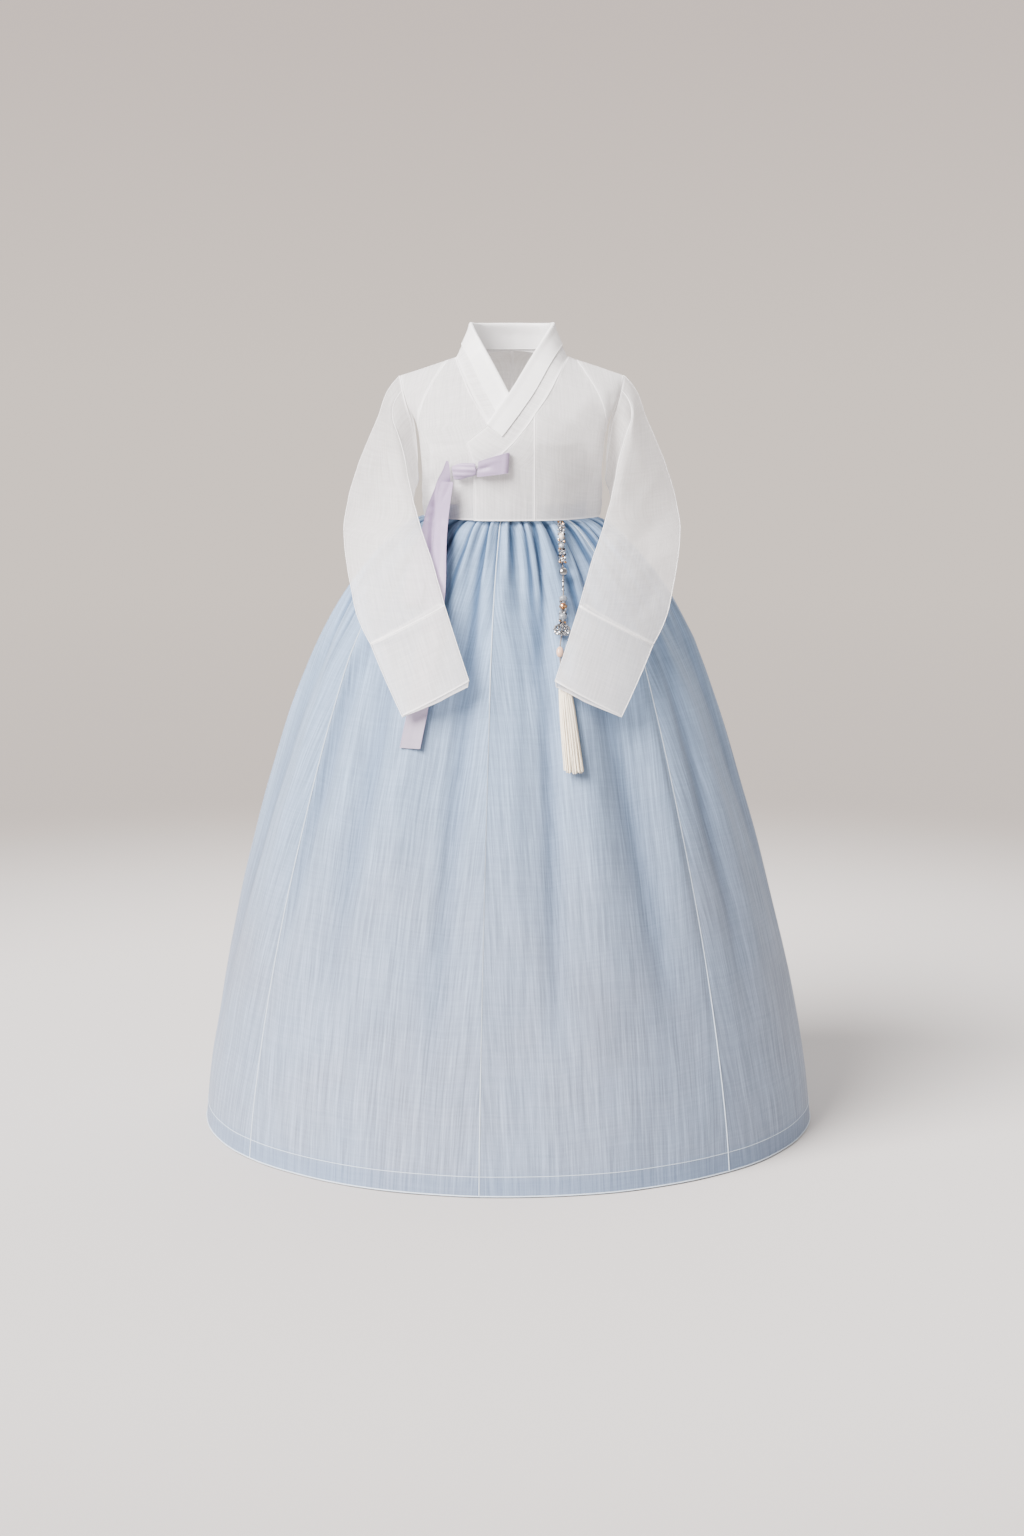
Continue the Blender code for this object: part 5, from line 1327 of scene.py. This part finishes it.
# ---------------- ribbons
# Creases with the columns that the jacket's have
TAIL_CREASES = (
    (-0.120, -0.190, -0.130, -0.335, 0.0030, -0.0036),
    (-0.127, -0.244, -0.1305, -0.325, 0.0022, -0.0030), (-0.107, -0.185, -0.113, -0.360, 0.0042, 0.0015),
    (-0.128, -0.200, -0.138, -0.295, 0.0036, 0.0013), (-0.094, -0.183, -0.110, -0.224, 0.0030, -0.0025),
    (-0.118, -0.300, -0.124, -0.380, 0.0060, 0.0008), (-0.160, -0.540, -0.152, -0.580, 0.0070, -0.0006))
LOOP_CREASES = (
    (-0.052, -0.170, -0.034, -0.166, 0.0026, -0.0024), (-0.050, -0.176, -0.022, -0.174, 0.0040, 0.0010),
    (-0.050, -0.163, -0.020, -0.155, 0.0040, 0.0009))
KNOT_WRAP, KNOT_FOLD = 0.0085, 0.0005    # width of a turn of the ribbon in the knot, height of its folds
RIBBONS = (("ribbon_tail_long", TAIL_CREASES), ("ribbon_tail_short", TAIL_CREASES),
           ("ribbon_loop", LOOP_CREASES))


def ribbons(finish, lines):
    """The two tails and the loop of the tied ribbon, with the lines of their edges."""
    made = {}
    for node, creases in RIBBONS:
        grid = creased(smooth_sheet(ribbon_grid(node), 0.0017)[0], creases)
        piece = cloth_piece(f"{node}_silk", grid, finish, thickness=RIBBON_SHELL)
        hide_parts(node)
        made[node] = (piece, grid)
        lines += [grid[:, 0], grid[:, -1]]
    return made


def knot_piece(finish):
    """The knot's band: the node's solid made smooth, with the folds of the wrapped ribbon."""
    points, triangles = merged("ribbon_knot")
    mesh = bpy.data.meshes.new("ribbon_knot_guide")
    mesh.from_pydata(points.tolist(), [], triangles.tolist())
    work = bmesh.new()
    work.from_mesh(mesh)
    bmesh.ops.join_triangles(work, faces=work.faces, angle_face_threshold=radians(40),
                             angle_shape_threshold=radians(60))
    work.to_mesh(mesh)
    work.free()
    guide = new_piece("ribbon_knot_guide", mesh)
    modifier = guide.modifiers.new("smooth", "SUBSURF")
    modifier.levels = modifier.render_levels = 3
    shown = guide.evaluated_get(bpy.context.evaluated_depsgraph_get())
    fine = bpy.data.meshes.new_from_object(shown)
    bpy.data.objects.remove(guide)
    bpy.data.meshes.remove(mesh)
    places = float_values(fine.vertices, "co")
    across, _, up = (places - places.mean(axis=0)).T
    wraps = (up - 0.25 * across) * 2 * pi / KNOT_WRAP + 8 * across / 0.04
    places += float_values(fine.vertices, "normal") * (KNOT_FOLD * np.sin(wraps))[:, None]
    fine.vertices.foreach_set("co", places.reshape(-1))
    layer = fine.uv_layers.new(name="cloth")
    corner = np.empty(len(fine.loops), dtype=np.int32)
    fine.loops.foreach_get("vertex_index", corner)
    layer.data.foreach_set("uv", places[corner][:, (0, 2)].astype(np.float32).reshape(-1))
    fine.name = "ribbon_knot_silk"
    fine.shade_smooth()
    fine.materials.clear()
    fine.materials.append(finish)
    piece = new_piece("ribbon_knot_silk", fine)
    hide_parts("ribbon_knot")
    return piece


# ---------------- putting it together
JACKET_SEAMS = (   # node, column of its grid that a seam runs along
    ("jacket_back_left", 0), ("jacket_overlap_left", 0), ("jacket_overlap_left", -1),
    ("jacket_yoke_left", 0), ("jacket_yoke_right", -1))


def surface_area(mesh, shell):
    """Area of a piece's cloth, of which a shell has two faces."""
    mesh.calc_loop_triangles()
    total = sum(triangle.area for triangle in mesh.loop_triangles)
    return total / 2 if shell else total


def declare(piece, grid, shell):
    """Works out the flat width and length that a piece's cloth measures along its own threads,
    and its area; none of these is kept."""
    across, down = arc_lengths(grid)
    width = float((across[:, -1] - across[:, 0]).max())
    length = float(down[-1].max())
    area = surface_area(piece.data, shell)
    area = float(np.clip(area, 0.3 * width * length, width * length))


def carried(piece):
    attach(piece, BODY)


def make_pendant():
    """The pendant: a cord with beads, an ornament and a cap, and the tassel below them."""
    silver = precious("norigae_silver", (0.40, 0.40, 0.41), 0.14)
    gold = precious("norigae_rose_gold", (0.66, 0.38, 0.20), 0.18)
    # painted shade: near-black metal beads in the clusters stand for the shade in the gaps between the small
    # beads
    bead_gap_shade = precious("norigae_bead_gap_shade", (0.07, 0.07, 0.08), 0.16)
    glass = bead_glass("norigae_glass", (0.48, 0.52, 0.58))
    finishes = {"silver": silver, "gold": gold, "glass": glass,
                "pearl": pearl("norigae_pearl", (0.78, 0.68, 0.58)),
                "rose": pearl("norigae_rose_pearl", (0.74, 0.46, 0.32))}
    # the cord's near-black colour is painted shade for the gaps between the beads
    cord, line = make_cord_piece(ribbed_silk("norigae_cord_silk", CORD_DARKENED_FOR_SHADE, 1500.0, 0.45))
    beads = []
    for number, (shape, sides, finish) in enumerate(BEADS, 1):
        beads.append(bead_piece(number, shape, sides, finishes[finish], line))
        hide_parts(f"norigae_bead_{number:02d}")
    ring, spots = ornament_piece(line, silver)
    stones = stone_tree()
    crystals = grown("norigae_ring_crystals", spots, [], stones, CRYSTAL, STONE_SIDES, silver)
    small = [grown(f"norigae_small_beads_{name}", lot, [], stones, SMALL_BEAD, STONE_SIDES, finish)
             for name, lot, finish in zip(("silver", "gold", "clear", "bead_gap_shade"), crowded(line, beads),
                                          (silver, gold, glass, bead_gap_shade))]
    threads, cap = tassel_piece(tassel_silk()), cap_piece(silver)
    for piece, node in ((ring, "norigae_ornament"), (threads, "norigae_tassel"), (cap, "norigae_cap"),
                        (cord, "norigae_cord")):
        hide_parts(node)
    for piece in (cord, threads):
        carried(piece)
    for piece in (cap, ring, crystals, *beads, *small):
        carried(piece)


def make_clothes():
    """Jacket, skirt and ribbons, and the thread of their seams."""
    body_ramie = sheer_ramie("jacket_sheer_ramie", shaded(RAMIE_WHITE, 1.03), 0.71)
    sleeve_ramie = sheer_ramie("sleeve_sheer_ramie", shaded(RAMIE_WHITE, 1.08), 0.44)
    cuff_ramie = sheer_ramie("cuff_sheer_ramie", shaded(RAMIE_WHITE, 1.06), 0.48)
    band_ramie = sheer_ramie("collar_band_ramie", RAMIE_WHITE, 0.93)
    silk = ribbed_silk("ribbon_lilac_silk", RIBBON_LILAC, lower_shade=0.75)
    jacket_lines, cuff_lines, trim_lines, ribbon_lines = [], [], [], []
    skirt_lines, hem_lines, fold_lines = [], [], []
    body = jacket_body(body_ramie, jacket_lines)
    panels = skirt(skirt_ramie(), skirt_lines, hem_lines, fold_lines)
    arms = sleeves(sleeve_ramie, cuff_ramie, jacket_lines, cuff_lines)
    neck = collar(band_ramie, white_satin(), jacket_lines, trim_lines)
    band, band_grid = chest_band(band_cotton())
    tied = ribbons(silk, ribbon_lines)
    carried(knot_piece(silk))

    jacket_lines += [body[node][1][:, column] for node, column in JACKET_SEAMS]
    piping = piping_tree()
    white_thread = seam_thread("white_seam_thread", shaded(RAMIE_WHITE, 1.12))
    blue_thread = seam_thread("blue_seam_thread", (0.55, 0.64, 0.74))
    trim_thread = seam_thread("trim_edge_thread", TRIM_WHITE)
    lilac_thread = seam_thread("lilac_seam_thread", shaded(RIBBON_LILAC, 1.15))
    for name, lines, radius, thread, slot in (
            ("jacket_seam_rolls", jacket_lines, 0.00065, white_thread, "jacket_cloth"),
            ("cuff_seam_rolls", cuff_lines, 0.0008, white_thread, "jacket_cloth"),
            ("trim_edge_rolls", trim_lines, 0.0004, trim_thread, "collar_white"),
            ("skirt_fold_stitching", fold_lines, 0.0005, blue_thread, "skirt_cloth"),
            ("skirt_seam_rolls", skirt_lines, 0.00095, blue_thread, "skirt_cloth"),
            ("skirt_hem_roll", hem_lines, 0.0011, blue_thread, "skirt_cloth"),
            ("ribbon_edge_rolls", ribbon_lines, 0.0004, lilac_thread, "ribbon_silk")):
        carried(piped(name, lines, piping, radius, thread))
    for group, slot, held, rests_on, shells in (
            (body, "jacket_cloth", "hung", ["collar_band"], ()),
            (arms, "jacket_cloth", "hung", ["jacket_yoke_left", "jacket_yoke_right"], ()),
            (neck, "jacket_cloth", "folded", ["jacket_back_left", "jacket_back_right"], ("collar_trim",)),
            (panels, "skirt_cloth", "gathered", ["skirt_band"], panels),
            (tied, "ribbon_silk", "hung", ["ribbon_knot"], tied)):
        for node, (piece, grid) in group.items():
            carried(piece)
            declare(piece, grid, node in shells)
    carried(band)
    declare(band, band_grid, True)


def main():
    make_camera()
    make_pendant()
    make_clothes()
    make_stage(float(CAD_BOX[0][2]))
    make_lights()


main()
